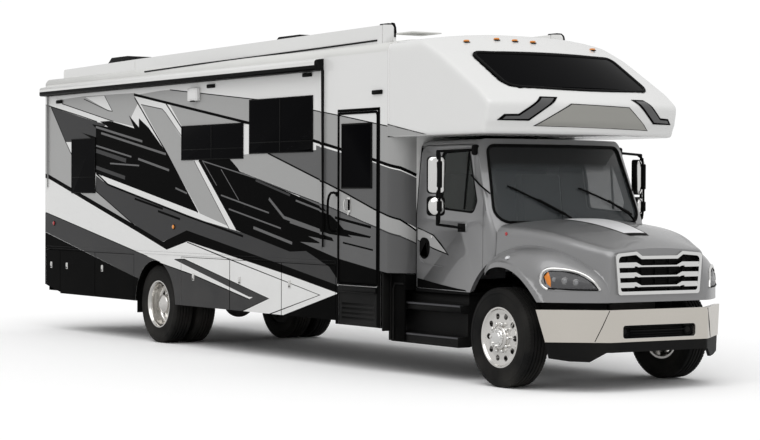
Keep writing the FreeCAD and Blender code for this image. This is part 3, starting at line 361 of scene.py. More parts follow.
# %% A collector of small forms
class Piece:
    """One mesh on one body, filled by block, turned, rod, tube and plate; a finish is a place in its list."""

    def __init__(self, name, body, *finishes, angle=35):
        self.name, self.body, self.finishes, self.angle = name, body, finishes, angle
        self.bm = bmesh.new()

    def add(self, made, finish=0, mirror=False):
        bmesh.ops.recalc_face_normals(made, faces=made.faces)
        for face in made.faces:
            face.material_index = finish
        mesh = mesh_of(made, "part")
        self.bm.from_mesh(mesh)
        if mirror:
            mesh.transform(Matrix.Scale(-1, 4, (0, 1, 0)))
            mesh.flip_normals()
            self.bm.from_mesh(mesh)
        bpy.data.meshes.remove(mesh)

    def block(self, x, y, z, finish=0, bevel=0.004, mirror=False):
        """A block between its low and high sides."""
        made = bmesh.new()
        bmesh.ops.create_cube(made, size=1)
        size = Vector([abs(b - a) for a, b in (x, y, z)])
        bmesh.ops.scale(made, vec=size, verts=made.verts)
        if bevel:
            bmesh.ops.bevel(made, geom=made.edges[:], offset=min(bevel, min(size) * 0.45), segments=2,
                            affect="EDGES", profile=0.5)
        bmesh.ops.translate(made, verts=made.verts, vec=Vector([(a + b) / 2 for a, b in (x, y, z)]))
        self.add(made, finish, mirror)

    def turned(self, centre, along, profile, finish=0, sides=32, mirror=False, hollow=False):
        """A profile of (distance along, radius) turned about an axis; a hollow one closes like a ring."""
        made = bmesh.new()
        a, b, c = frame_of(along)
        rings = []
        for run, radius in profile:
            middle = Vector(centre) + a * run
            if radius < 1e-6:
                rings.append([made.verts.new(middle)])
                continue
            rings.append([made.verts.new(middle + (b * math.cos(t) + c * math.sin(t)) * radius)
                          for t in (math.tau * i / sides for i in range(sides))])
        for one, two in zip(rings, rings[1:] + rings[:1] if hollow else rings[1:]):
            for i in range(sides):
                corners = [one[i % len(one)], one[(i + 1) % len(one)], two[(i + 1) % len(two)], two[i % len(two)]]
                corners = list(dict.fromkeys(corners))
                if len(corners) > 2:
                    made.faces.new(corners)
        for ring in () if hollow else (rings[0], rings[-1]):
            if len(ring) > 2:
                made.faces.new(ring)
        self.add(made, finish, mirror)

    def rod(self, start, end, radius, finish=0, sides=14):
        run = (Vector(end) - Vector(start)).length
        soft = min(radius * 0.3, run * 0.2)
        self.turned(start, Vector(end) - Vector(start),
                    [(0, radius - soft), (soft, radius), (run - soft, radius), (run, radius - soft)], finish, sides)

    def tube(self, points, radius, finish=0, sides=8, mirror=False, flat=1.0):
        """A tube swept through points; flat squeezes it along its second axis."""
        made = bmesh.new()
        points = [Vector(p) for p in points]
        rings, side = [], None
        for i, p in enumerate(points):
            along = (points[min(i + 1, len(points) - 1)] - points[max(i - 1, 0)]).normalized()
            if side is None:
                side = frame_of(along)[1]
            side = (side - along * side.dot(along)).normalized()
            other = along.cross(side)
            rings.append([made.verts.new(p + (side * math.cos(t) * radius + other * math.sin(t) * radius * flat))
                          for t in (math.tau * k / sides for k in range(sides))])
        bridge(made, rings)
        self.add(made, finish, mirror)

    def plate(self, corners, out, finish=0, bevel=0.0):
        """A flat plate: corners in space, thickened by the vector out."""
        made = bmesh.new()
        face = made.faces.new([made.verts.new(p) for p in corners])
        top = bmesh.ops.extrude_face_region(made, geom=[face])
        bmesh.ops.translate(made, vec=Vector(out), verts=[v for v in top["geom"] if isinstance(v, bmesh.types.BMVert)])
        if bevel:
            bmesh.ops.bevel(made, geom=made.edges[:], offset=bevel, segments=2, affect="EDGES", profile=0.5)
        self.add(made, finish)

    def done(self, slot, replaces=()):
        return settle(self.name, mesh_of(self.bm, self.name), self.body, self.finishes, self.angle, slot, replaces)


print("block, turned, rod, tube and plate fill a piece")

# %% [markdown]
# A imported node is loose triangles. Its copy is welded so that curved panels
# shade smoothly and edges stay crisp; a face can take a second finish by
# where it is, which is how one casting shows paint and bare metal. The cap
# is a moulding with no sharp edge anywhere, so its copy is remeshed and
# smoothed too, which rounds the corners that the solid keeps simple.

# %% Dressing a node: a welded, smooth copy that stands for it
def softened(bm, voxel):
    """A moulded shell: remeshed, smoothed so that its edges round over, and thinned out again."""
    holder = linked("soft", mesh_of(bm, "soft"))
    for kind, settings in (("REMESH", {"mode": "VOXEL", "voxel_size": voxel}),
                           ("SMOOTH", {"factor": 0.5, "iterations": 14}), ("DECIMATE", {"ratio": 0.3})):
        step = holder.modifiers.new(kind.lower(), kind)
        for key, value in settings.items():
            setattr(step, key, value)
    return bmesh_of(applied(holder))


def applied(holder):
    """The mesh that an object's modifiers give; the object goes."""
    bpy.context.view_layer.update()
    mesh = bpy.data.meshes.new_from_object(holder.evaluated_get(bpy.context.evaluated_depsgraph_get()))
    bpy.data.objects.remove(holder)
    return mesh


def dressed(name, finishes, slot, choose=None, angle=30, soften=0, move=None):
    """choose picks the finish of a face by its centre and normal; move shifts each vertex by its place."""
    bm = bmesh_of(nodes[name].data)
    bmesh.ops.remove_doubles(bm, verts=bm.verts, dist=0.0002)
    for vert in bm.verts if move else ():
        vert.co += Vector(move(vert.co))
    if soften:
        bm = softened(bm, soften)
    for face in bm.faces if choose else ():
        face.material_index = choose(face.calc_center_median(), face.normal)
    return settle(f"{name}-skin", mesh_of(bm, name), nodes[name]["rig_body"], finishes, angle, slot, [name])


print("pieces and dressed nodes can be made")

# %% [markdown]
# The paint scheme is cut film on flat walls. It is drawn once, as plain
# polygons and strokes in order of painting: distance along the side (which
# runs on round the front corner) and height. A constrained triangulation
# cuts them all along each other, and the last one laid on wins, so every
# edge is as crisp as a knife cut.

# %% The paint scheme: finish, stroke width (0 for an area), points
LIVERY = [
    ("silver", 0, [(-6.19, 3.35), (-5.81, 3.21), (-5.30, 2.69), (-5.05, 2.46), (-5.05, 2.01), (-6.19, 2.29)]),
    ("silver", 0, [(-5.50, 3.30), (-4.70, 3.32), (-3.12, 3.30), (-2.96, 3.21), (-3.22, 2.98), (-3.11, 2.85),
        (-3.76, 2.94), (-5.43, 3.24)]),
    ("white", 0, [(-4.64, 3.30), (-4.03, 3.30), (-3.80, 3.08), (-3.91, 3.09)]),
    ("dark", 0, [(-5.81, 3.21), (-4.50, 3.00), (-3.93, 2.91), (-4.24, 2.83), (-4.24, 2.67), (-5.29, 2.69)]),
    ("white", 0, [(-5.95, 3.26), (-4.83, 3.09), (-3.75, 2.90), (-3.80, 2.89), (-4.31, 2.95), (-5.82, 3.21)]),
    ("black", 0, [(-4.31, 2.86), (-4.43, 2.92), (-3.93, 2.87), (-4.18, 2.95), (-3.87, 2.95), (-3.13, 2.83),
        (-3.29, 3.01), (-2.99, 2.84), (-2.99, 2.96), (-2.71, 2.83), (-2.18, 2.48), (-1.33, 1.72), (-1.57, 1.74),
        (-4.13, 2.20), (-4.37, 2.26), (-4.37, 2.70), (-4.76, 2.81), (-4.31, 2.74)]),
    ("white", 0, [(-3.12, 3.28), (-2.21, 3.15), (-1.75, 2.78), (-1.36, 2.42), (-0.31, 1.51), (-0.45, 1.49),
        (-1.33, 1.71), (-2.18, 2.48), (-3.11, 3.24)]),
    ("silver", 0, [(-2.93, 3.14), (-2.32, 3.06), (-2.21, 3.00), (-1.79, 2.68), (-1.45, 2.38), (-0.52, 1.52),
        (-1.28, 1.71), (-2.15, 2.46)]),
    ("white", 0, [(-4.13, 2.21), (-4.03, 2.19), (-2.37, 1.90), (-1.33, 1.72), (-0.31, 1.51), (-0.42, 1.49),
        (-1.60, 1.70), (-3.92, 2.10)]),
    ("dark", 0, [(-4.30, 2.21), (-3.92, 2.07), (-1.60, 1.67), (-0.30, 1.50), (0.94, 1.31), (1.31, 1.31),
        (1.60, 1.25), (1.85, 1.15), (1.99, 1.02), (1.99, 0.91), (0.71, 1.13), (-1.63, 1.48), (-2.30, 1.33),
        (-3.07, 1.53), (-4.32, 1.98)]),
    ("silver", 0, [(-4.85, 1.98), (-4.30, 1.98), (-3.07, 1.52), (-3.25, 1.55)]),
    ("black", 0, [(-6.19, 2.31), (-5.07, 2.03), (-2.95, 1.50), (-2.29, 1.33), (-1.63, 1.49), (0.71, 1.13),
        (1.97, 0.93), (2.15, 0.88), (1.98, 0.84), (0.94, 1.00), (-1.60, 1.35), (-2.18, 1.23), (-2.95, 1.43),
        (-6.19, 2.25)]),
    ("dark", 0, [(-6.19, 1.72), (-6.02, 1.69), (-2.73, 1.13), (-2.37, 1.07), (-2.65, 0.56), (-3.00, 0.83),
        (-6.19, 1.44)]),
    ("black", 0, [(-6.19, 1.44), (-6.00, 1.40), (-3.00, 0.83), (-2.77, 0.80), (-2.65, 0.29), (-6.18, 0.40)]),
    ("dark", 0, [(-2.43, 1.06), (-1.40, 0.92), (-0.02, 0.68), (0.07, 0.71), (0.45, 0.71), (-0.33, 0.49),
        (-0.44, 0.35), (-2.65, 0.23)]),
    ("dark", 0, [(-1.98, 1.11), (-1.69, 1.12), (0.45, 0.71), (-0.02, 0.71)]),
    ("silver", 0, [(-2.38, 3.30), (-2.10, 3.30), (0.15, 3.09), (1.44, 2.92), (2.09, 2.83), (2.69, 2.74),
        (3.16, 2.67), (3.36, 2.61), (3.36, 2.15), (3.17, 2.23), (2.69, 2.34), (2.10, 2.44), (1.45, 2.56),
        (-0.02, 2.81), (-3.14, 3.27)]),
    ("silver", 0, [(-2.13, 3.13), (-0.02, 2.82), (-0.04, 2.80), (-1.74, 2.79)]),
    ("grey", 0, [(1.16, 1.93), (1.81, 1.81), (2.74, 1.61), (3.17, 1.51), (3.36, 1.42), (3.36, 1.01), (3.17, 1.08),
        (2.75, 1.13), (1.99, 1.23), (1.39, 1.32), (0.83, 1.38)]),
    ("black", 0, [(-1.31, 2.39), (-0.50, 2.40), (-0.25, 2.23), (0.94, 1.97), (1.65, 1.81), (1.95, 1.66),
        (2.12, 1.56), (2.68, 1.49), (2.66, 1.47), (2.21, 1.50), (2.29, 1.47), (1.83, 1.50), (1.91, 1.42),
        (1.35, 1.47), (1.65, 1.39), (1.17, 1.40), (1.99, 1.23), (1.39, 1.30), (0.94, 1.28), (-0.34, 1.51)]),
    ("grey", 0, [(0.38, 2.46), (1.52, 2.46), (1.52, 2.53), (2.10, 2.42), (2.69, 2.31), (3.17, 2.21), (3.36, 2.13),
        (3.36, 1.55), (3.36, 1.59), (3.17, 1.68), (2.74, 1.79), (2.14, 1.97), (1.67, 2.10)]),
    ("silver", 0, [(-0.55, 2.41), (0.33, 2.46), (0.42, 2.44), (1.67, 2.10), (2.14, 1.97), (2.74, 1.79), (3.17, 1.68),
        (3.36, 1.56), (3.36, 1.43), (3.17, 1.51), (2.74, 1.61), (1.81, 1.82), (0.94, 1.99), (-0.24, 2.23)]),
    ("black", 0, [(3.36, 1.02), (3.36, 1.04), (3.17, 1.08), (2.75, 1.13), (1.99, 1.23), (1.39, 1.32), (1.17, 1.34),
        (1.81, 1.13), (1.97, 1.01), (2.02, 0.90), (1.98, 0.83), (0.67, 0.50), (0.48, 0.22), (3.36, 0.37),
        (3.36, 0.81)]),
    ("black", 0.012, [(-2.10, 3.30), (0.15, 3.09), (1.44, 2.92), (2.09, 2.83), (2.69, 2.74), (3.16, 2.67),
        (3.36, 2.61)]),
    ("black", 0.035, [(-3.14, 3.28), (-0.02, 2.81), (1.45, 2.57), (2.10, 2.45), (2.69, 2.34), (3.17, 2.24),
        (3.36, 2.16)]),
    ("white", 0.016, [(1.47, 2.53), (2.10, 2.42), (2.69, 2.31)]),
    ("black", 0.024, [(-3.12, 3.24), (-2.18, 2.48), (-1.33, 1.72)]),
    ("black", 0.02, [(-2.23, 3.14), (-1.75, 2.78)]),
    ("dark", 0.012, [(-2.93, 3.14), (-2.32, 3.06), (-2.21, 3.00), (-1.79, 2.70)]),
    ("dark", 0.012, [(-1.44, 2.38), (-0.51, 1.52)]),
    ("black", 0.026, [(-1.31, 2.38), (-0.32, 1.51)]),
    ("black", 0.028, [(-4.30, 2.24), (-3.92, 2.08), (-1.60, 1.67), (-0.17, 1.44)]),
    ("black", 0.014, [(-4.30, 1.99), (-3.07, 1.52)]),
    ("black", 0.014, [(-5.91, 3.23), (-4.83, 3.05), (-4.27, 2.95)]),
    ("black", 0.012, [(-4.70, 3.28), (-3.91, 3.09), (-3.79, 3.08), (-4.04, 3.30)]),
    ("black", 0.012, [(-5.43, 3.24), (-3.76, 2.94)]),
    ("black", 0.016, [(-5.81, 3.21), (-5.30, 2.69), (-5.05, 2.46)]),
    ("black", 0.02, [(0.42, 2.44), (1.67, 2.10), (2.14, 1.97), (2.74, 1.79), (3.17, 1.68), (3.36, 1.56)]),
    ("dark", 0.016, [(-0.24, 2.22), (0.94, 1.98), (1.81, 1.81), (2.74, 1.60), (3.17, 1.50), (3.36, 1.42)]),
    ("black", 0.014, [(-1.62, 1.34), (-0.50, 1.15), (1.61, 0.80), (0.41, 0.51)]),
    ("black", 0.012, [(-2.43, 1.06), (-1.40, 0.92), (-0.02, 0.68)]),
    ("black", 0.012, [(-1.95, 1.11), (-1.69, 1.12), (0.45, 0.71), (-0.33, 0.49)]),
    ("black", 0.012, [(-6.19, 1.72), (-2.73, 1.13)]),
    ("grey", 0.03, [(-4.31, 2.88), (-2.89, 2.65)]),
    ("grey", 0.03, [(-4.14, 2.79), (-2.21, 2.47)]),
    ("grey", 0.022, [(-4.30, 2.62), (-3.21, 2.45)]),
    ("dark", 0.055, [(-4.30, 2.55), (-3.37, 2.40)]),
    ("grey", 0.03, [(-3.01, 2.42), (-2.12, 2.26)]),
    ("dark", 0.05, [(-4.30, 2.32), (-3.40, 2.17)]),
    ("grey", 0.02, [(-3.86, 2.37), (-2.98, 2.33)]),
    ("grey", 0.022, [(-1.94, 2.03), (-1.62, 1.96)]),
    ("grey", 0.014, [(-1.22, 2.37), (0.10, 2.15)]),
    ("grey", 0.012, [(-0.73, 2.26), (-0.28, 1.88)]),
    ("grey", 0.012, [(-1.20, 2.36), (-0.84, 2.06)]),
    ("grey", 0.018, [(-0.73, 1.94), (0.45, 1.73)]),
    ("grey", 0.018, [(-0.53, 1.77), (0.73, 1.55)]),
    ("grey", 0.036, [(0.45, 1.90), (0.80, 1.68), (1.65, 1.53)]),
    ("grey", 0.034, [(0.08, 1.55), (0.99, 1.38)]),
    ("grey", 0.03, [(0.94, 1.63), (1.91, 1.47)]),
    ("dark", 0.026, [(0.13, 2.12), (0.94, 1.94)]),
    ("grey", 0.022, [(1.07, 1.88), (1.82, 1.73)]),
    ("black", 0.03, [(-3.11, 1.89), (-2.29, 1.76)]),
    ("black", 0.03, [(-2.43, 1.73), (-1.81, 1.63)]),
    ("black", 0.03, [(1.93, 1.69), (2.68, 1.59)]),
    ("black", 0.02, [(2.10, 1.41), (2.72, 1.34)]),
]
print(f"{len(LIVERY)} areas and strokes")

# %% [markdown]
# Each wall and door gets its own share of the film, because doors move.
# The film lies a millimetre or so proud of its panel and rides with it.
# The same cutter also drapes a film over a curved panel: extra cuts both
# ways give it enough points to follow the curve.

# %% Cutting the film for one panel
LIFT = 0.0012
CORNER_START, CORNER_RADIUS = 3.0, 0.2


def stroke(points, width):
    """The outline of a line of some width through points, with mitred corners."""
    flat = [Vector(p) for p in points]
    left, right = [], []
    for i, p in enumerate(flat):
        before = (p - flat[i - 1]).normalized() if i else None
        after = (flat[i + 1] - p).normalized() if i + 1 < len(flat) else before
        before = before or after
        along = (before + after).normalized()
        across = Vector((-along.y, along.x)) * (width / 2 / max(0.4, along.dot(before)))
        left.append(p + across)
        right.append(p - across)
    return left + right[::-1]


def film(name, body, outline, spot, holes=(), base="white", scheme=LIVERY, cuts=((), ()), mirror=False, out=None,
         slot="house_paint", angle=30):
    """A film over one panel, cut along a scheme and along straight cuts (at distances, at heights).

    spot puts (distance, height) in space, and out is the way that the film faces.
    """
    loops = [outline, *holes] + [stroke(points, width) if width else points for _, width, points in scheme]
    verts, faces, edges = [], [], []
    for loop in loops:
        first = len(verts)
        turns = sum(a[0] * b[1] - a[1] * b[0] for a, b in zip(loop, loop[1:] + loop[:1]))
        verts += [Vector(p) for p in (loop if turns > 0 else loop[::-1])]
        faces.append(list(range(first, len(verts))))
    (near, far), (low, high) = [(min(values), max(values)) for values in zip(*outline)]
    for line in [((s, low), (s, high)) for s in cuts[0]] + [((near, z), (far, z)) for z in cuts[1]]:
        edges.append((len(verts), len(verts) + 1))
        verts += [Vector(p) for p in line]
    flat, _, triangles, _, _, owners = delaunay_2d_cdt(verts, edges, faces, 1, 1e-5)
    names = sorted({base} | {colour for colour, _, _ in scheme})
    solid = 1 + len(holes)
    kept, paints, used = [], [], {}
    for triangle, inside in zip(triangles, owners):
        if 0 in inside and not any(1 <= i < solid for i in inside):
            top = max(inside)
            paints.append(names.index(scheme[top - solid][0] if top >= solid else base))
            kept.append([used.setdefault(v, len(used)) for v in triangle])
    spots = [spot(*flat[v]) for v in used]
    if mirror:
        spots = [Vector((p.x, -p.y, p.z)) for p in spots]
    out = Vector(out or (0.2, sum(p.y for p in spots) / len(spots), 0))
    for i, (a, b, c) in enumerate(kept):
        if (spots[b] - spots[a]).cross(spots[c] - spots[a]).dot(out) < 0:
            kept[i] = [c, b, a]
    mesh = bpy.data.meshes.new(name)
    mesh.from_pydata(spots, [], kept)
    mesh.polygons.foreach_set("material_index", paints)
    return settle(name, mesh, body, names, angle, slot)


def even_cuts(values, step):
    low, high = min(values), max(values)
    count = round((high - low) / step)
    return [low + (high - low) * i / count for i in range(1, count)]


def draped(name, body, outline, spot, coat, slot, steps, out=(0, 0, 1)):
    """A film of one finish on a curved panel, cut at even steps both ways."""
    cuts = [even_cuts(values, step) for values, step in zip(zip(*outline), steps)]
    film(name, body, outline, spot, base=coat, scheme=(), cuts=cuts, out=out, slot=slot, angle=60)


print("film and draped cut films to panels")

# %% [markdown]
# On the real vehicle the film stops at every window, door and wheel arch.
# The outlines below do the same, and the wall's front edge runs on round a
# quarter circle, where a few straight cuts let the film bend. The left side
# wears the same scheme, mirrored, with its own windows and doors.

# %% The walls, the front corners and the doors
def arc(centre, radius, start, end, steps=24):
    """Points on an arc, in degrees."""
    turns = [math.radians(start + (end - start) * i / steps) for i in range(steps + 1)]
    return [(centre[0] + radius * math.cos(t), centre[1] + radius * math.sin(t)) for t in turns]


def oblong(x0, x1, z0, z1, grow=0.0):
    return [(x0 - grow, z0 - grow), (x1 + grow, z0 - grow), (x1 + grow, z1 + grow), (x0 - grow, z1 + grow)]


def flat_side(distance):
    return lambda s, z: Vector((s, -distance, z))


def round_corner(s, z):
    turn = (s - CORNER_START) / CORNER_RADIUS
    reach, out = CORNER_RADIUS + LIFT, SIDE - CORNER_RADIUS
    if turn <= math.pi / 2:
        return Vector((CORNER_START + reach * math.sin(turn), -out - reach * math.cos(turn), z))
    return Vector((CORNER_START + reach, -out + CORNER_RADIUS * (turn - math.pi / 2), z))


def rear_edge(s, z):
    """The wall's last strip turns back on itself, so that its lines go on without a step."""
    return Vector((2 * REAR - s, -SIDE - LIFT, z))


REAR, BELT, SKIRT, WALL_TOP, STEP_FOOT, BEND_FOOT, BEHIND_CAB = -5.955, 1.15, 0.53, 3.508, 0.49, 1.1, 2.88
WHEEL_ARCH = arc((-2.51, 0.515), 0.566, 1.5, 178.5)[::-1]
ARCH_START, ARCH_END = -3.123, -1.783
WINDOWS = {"right": [(-5.073, -4.333, 1.98, 2.71), (-1.753, -0.183, 2.40, 2.805), (-0.003, 1.437, 2.455, 3.075)],
           "left": [(-5.073, -4.333, 1.98, 2.71), (-1.753, -0.183, 2.40, 2.805), (1.197, 2.637, 2.455, 3.075)]}
ENTRY, ENTRY_GLASS = (2.017, 2.797, 0.96, 2.85), (2.087, 2.687, 2.03, 2.73)
DOORS = {"right": [(-5.955, -5.484), (-5.476, -4.334), (-4.326, -3.127), (-1.779, -0.507), (-0.499, 0.743),
                   (0.751, 1.946)],
         "left": [(-4.326, -3.127), (-1.779, -0.507), (0.751, 1.946)]}
ARCH = [(ARCH_START, BELT), (ARCH_START, SKIRT), *WHEEL_ARCH, (ARCH_END, SKIRT), (ARCH_END, BELT)]
FRONT_END = [(BEHIND_CAB, BEND_FOOT), (CORNER_START, BEND_FOOT), (CORNER_START, WALL_TOP), (REAR, WALL_TOP)]
OUTLINES = {
    "right": [(REAR, BELT), *ARCH, (1.95, BELT), (1.95, STEP_FOOT), (BEHIND_CAB, STEP_FOOT), *FRONT_END],
    "left": [(REAR, 0.64), (-5.4, 0.55), (-4.33, 0.55), (-4.33, BELT), *ARCH, (-0.503, BELT), (-0.503, SKIRT),
             (0.747, SKIRT), (0.747, BELT), (1.95, BELT), (1.95, SKIRT), (BEHIND_CAB, SKIRT), *FRONT_END]}
BENDS = [CORNER_START + CORNER_RADIUS * math.pi / 2 * i / 10 for i in range(1, 11)]
flush = flat_side(SIDE + LIFT)
for hand in HANDS:
    other = hand == "left"
    gaps = [oblong(*w, grow=0.006) for w in WINDOWS[hand]]
    if not other:
        gaps += [oblong(*ENTRY, grow=0.019), oblong(*ENTRY[:2], 0.4, 0.95)]
    film(f"{hand}_wall-film", "coach", OUTLINES[hand], flush, gaps, mirror=other)
    film(f"{hand}_corner-film", "coach", oblong(CORNER_START, 3.40, BEND_FOOT, 2.571), round_corner,
         cuts=(BENDS, ()), mirror=other)
    for i, (low, high) in enumerate(DOORS[hand], 1):
        foot = (SKIRT + 0.105, SKIRT + 0.02) if low == REAR else (SKIRT, SKIRT)
        edge = [(low + 0.003, foot[0]), (high - 0.003, foot[1]), (high - 0.003, 1.143), (low + 0.003, 1.143)]
        film(f"bay_door_{hand}_{i}-film", f"bay_door_{hand}_{i}", edge, flush, mirror=other)
for hand in HANDS:
    film(f"{hand}_rear_edge-film", "coach", oblong(REAR, REAR + 0.044, 0.642, WALL_TOP), rear_edge,
         mirror=hand == "left")
for i, (x, low) in enumerate(((1.64, 1.35), (-5.94, 2.05)), 1):
    film(f"awning_arm_{i}-film", "coach", oblong(x + 0.001, x + 0.049, low + 0.001, 3.36), flat_side(1.2948 + LIFT))
film("entry_door-film", "entry_door", oblong(*ENTRY, grow=-0.007), flush, [oblong(*ENTRY_GLASS, grow=0.002)])

# %% [markdown]
# The bright tip of the scheme ends on the cab doors, and their lowest edge
# is black. Both doors are flat there, so the same cutter works.

# %% The ends of the scheme on the cab doors
DOOR_SIDE = flat_side(1.03 + LIFT)
DOOR_TIP = [("silver", 0, [(3.24, 1.585), (3.35, 1.563), (3.533, 1.510), (3.66, 1.42), (3.80, 1.32), (3.534, 1.38),
                           (3.24, 1.462)]),
            ("black", 0.014, [(3.22, 1.595), (3.35, 1.568), (3.54, 1.515), (3.67, 1.425), (3.815, 1.315)]),
            ("black", 0.014, [(3.22, 1.462), (3.534, 1.375), (3.815, 1.315)])]
TIP = [(3.235, 1.456), (3.534, 1.367), (3.83, 1.306), (3.68, 1.432), (3.545, 1.522), (3.235, 1.60)]
SILL = [(3.235, 0.948), (4.15, 0.938), (4.125, 0.953), (3.95, 0.965), (3.66, 0.995), (3.235, 1.05)]
for hand in HANDS:
    for label, outline, scheme in (("tip", TIP, DOOR_TIP), ("sill", SILL, ())):
        film(f"cab_door_{hand}-{label}", f"cab_door_{hand}", outline, DOOR_SIDE, base="black", scheme=scheme,
             mirror=hand == "left")

# %% [markdown]
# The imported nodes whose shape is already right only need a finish, put
# straight on the node's own mesh: floors, axles, boxes, seats, flat walls.

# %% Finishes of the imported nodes
PLAIN = {"house_floor": "plastic", "frame_rails": "chassis", "front_axle": "cast", "rear_axle": "cast",
         "engine_block": "cast", "exhaust": "steel", "knuckle_left": "cast", "knuckle_right": "cast",
         "tie_rod": "cast", "storage_boxes": "plastic", "rear_bumper": "chassis", "cab_seats": "cloth",
         "dashboard": "dash", "rear_wall": "white", "front_wall": "white", "entry_door": "black",
         "rear_lamps": "gasket"}
PLAIN |= {f"bay_door_{hand}_{i}": "black" for hand in DOORS for i in range(1, len(DOORS[hand]) + 1)}
for name, coat in PLAIN.items():
    nodes[name].data.materials.clear()
    nodes[name].data.materials.append(FINISHES[coat])
print(f"{len(PLAIN)} plain nodes finished")

# %% [markdown]
# The others are dressed. Glass with a rubber edge, a painted shell that is
# black inside and a chromed bumper with a bare back are one solid each, so
# a small test on a face's centre and normal says which finish it takes. A
# few are also nudged: roof fairings reach to the tail, the front vent lies
# low, and the awning's case ends a little before the wall does.

# %% Dressed nodes
HOUSE_FRONT = 1.2


def longer_fairing(c):
    return (-0.13 * (c.x < -5.36), 0, 0)


def lower_vent(c):
    return (0, 0, (3.66 - c.z) * 0.45 * (c.x > HOUSE_FRONT))


def shorter_case(c):
    """The case's end comes in, and the arms below it fold close to the wall."""
    return (0.075 * (c.x < -5.99), (c.y + SIDE) * -0.45 * (c.z < 3.3605 and -1.32 < c.y < -1.2705), 0)


def awning_part(c, n):
    """The case, its black underside and ends, or the rear arm, which is painted with the wall."""
    return 2 if c.z < 3.358 and c.x < 0 else int(c.z < 3.362 or n.z < -0.6 or abs(n.x) > 0.9)


for hand in HANDS:
    dressed(f"{hand}_wall", ["white", "black"], "house_paint",
            lambda c, n: int(abs(c.y) > 1.2705 or (c.z < 3.2 and abs(n.y) < 0.5)))
dressed("cabover_cap", ["gelcoat"], "cap_shell", angle=60, soften=0.02)
dressed("cabover_window", ["glass"], "dark_glass")
dressed("house_windows", ["glass", "gasket"], "dark_glass", lambda c, n: int(abs(n.y) < 0.9 and abs(n.x) < 0.9))
dressed("entry_door_glass", ["glass"], "dark_glass")
dressed("roof", ["roof"], "roof_skin")
dressed("roof_fairings", ["gelcoat"], "cap_shell", move=longer_fairing)
dressed("roof_units", ["plastic", "roof"], "black_plastic", lambda c, n: int(c.x > HOUSE_FRONT), move=lower_vent)
dressed("awning", ["case", "plastic", "silver"], "cap_shell", awning_part, move=shorter_case)
# Painted shadow: the cab shell's top above 2.535, in the gap under the cap, is black; the shell is also black below
# 0.95 and behind 3.235.
dressed("cab_shell", ["cab", "gasket"], "cab_paint", lambda c, n: int(c.z < 0.95 or c.z > 2.535 or c.x < 3.235), 25)
dressed("hood", ["cab", "gasket"], "cab_paint", lambda c, n: int(n.z < -0.6 and c.z < 1.3), 25)
dressed("windshield", ["screen"], "clear_glass")
dressed("grille", ["grille", "gasket"], "chrome", lambda c, n: int(n.x < -0.8), 12)
dressed("headlight_rims", ["cab"], "chrome")
dressed("headlights", ["lens", "gasket"], "lamp_lens", lambda c, n: int(n.x < 0.05))
dressed("front_bumper", ["bumper", "gasket"], "chrome", lambda c, n: int(n.x < -0.5))
dressed("air_dam", ["plastic"], "black_plastic")
dressed("fuel_tank", ["tank"], "tank_alloy")
dressed("steps", ["plastic"], "black_plastic")
for hand in ("left", "right"):
    dressed(f"cab_door_{hand}", ["cab", "gasket"], "cab_paint", lambda c, n: int(abs(c.y) > 1.045))
    dressed(f"cab_glass_{hand}", ["cab_glass"], "clear_glass")
    dressed(f"front_wheel_{hand}", ["alloy"], "wheel_alloy")
    dressed(f"rear_wheels_{hand}", ["alloy", "chassis"], "wheel_alloy", lambda c, n: int(abs(c.y) < 0.96))

# %% [markdown]
# Wheel nuts, tread blocks, step ridges and ribs repeat by a rule, so Geometry
# Nodes place them: a ring or a row of points, one small form on each, then
# Realize Instances and Set Material. The result becomes a plain mesh.

# %% A node tree that repeats one form round a ring or along a row
def repeat_tree():
    tree = bpy.data.node_groups.new("repeat_form", "GeometryNodeTree")
    graph = Graph(tree)
    face = tree.interface
    for label, kind in (("Geometry", "NodeSocketGeometry"), ("Count", "NodeSocketInt"), ("Radius", "NodeSocketFloat"),
                        ("Step", "NodeSocketVector"), ("Form", "NodeSocketObject"), ("Finish", "NodeSocketMaterial")):
        face.new_socket(label, in_out="INPUT", socket_type=kind)
    face.new_socket("Geometry", in_out="OUTPUT", socket_type="NodeSocketGeometry")
    enter, leave = tree.nodes.new("NodeGroupInput"), tree.nodes.new("NodeGroupOutput")
    given = {s.name: Field(graph, s) for s in enter.outputs if s.name}
    ring = graph.node("GeometryNodeMeshCircle", {"fill_type": "NONE"},
                      {"Vertices": given["Count"], "Radius": given["Radius"]})
    row = graph.node("GeometryNodeMeshLine", {"mode": "OFFSET"}, {"Count": given["Count"], "Offset": given["Step"]})
    is_ring = graph.node("FunctionNodeCompare", {"data_type": "FLOAT", "operation": "GREATER_THAN"},
                         {0: given["Radius"], 1: 0.0})
    points = graph.node("GeometryNodeSwitch", {"input_type": "GEOMETRY"}, {0: is_ring, 1: row, 2: ring})
    spot = graph.node("GeometryNodeInputPosition")
    outward = graph.node("FunctionNodeAlignEulerToVector", {"axis": "X"}, {"Vector": spot, "Factor": is_ring})
    form = graph.node("GeometryNodeObjectInfo", {"transform_space": "ORIGINAL"}, {"Object": given["Form"]}, out=4)
    placed = graph.node("GeometryNodeInstanceOnPoints",
                        values={"Points": points, "Instance": form, "Rotation": outward})
    real = graph.node("GeometryNodeRealizeInstances", values={"Geometry": placed})
    done = graph.node("GeometryNodeSetMaterial", values={"Geometry": real, "Material": given["Finish"]})
    tree.links.new(done.socket, leave.inputs[0])
    return tree


REPEAT = repeat_tree()


def small_form(build):
    """A loose form at the origin, for the tree to copy."""
    piece = Piece("form", "coach", "steel")
    build(piece)
    return linked("form", mesh_of(piece.bm, "form"))


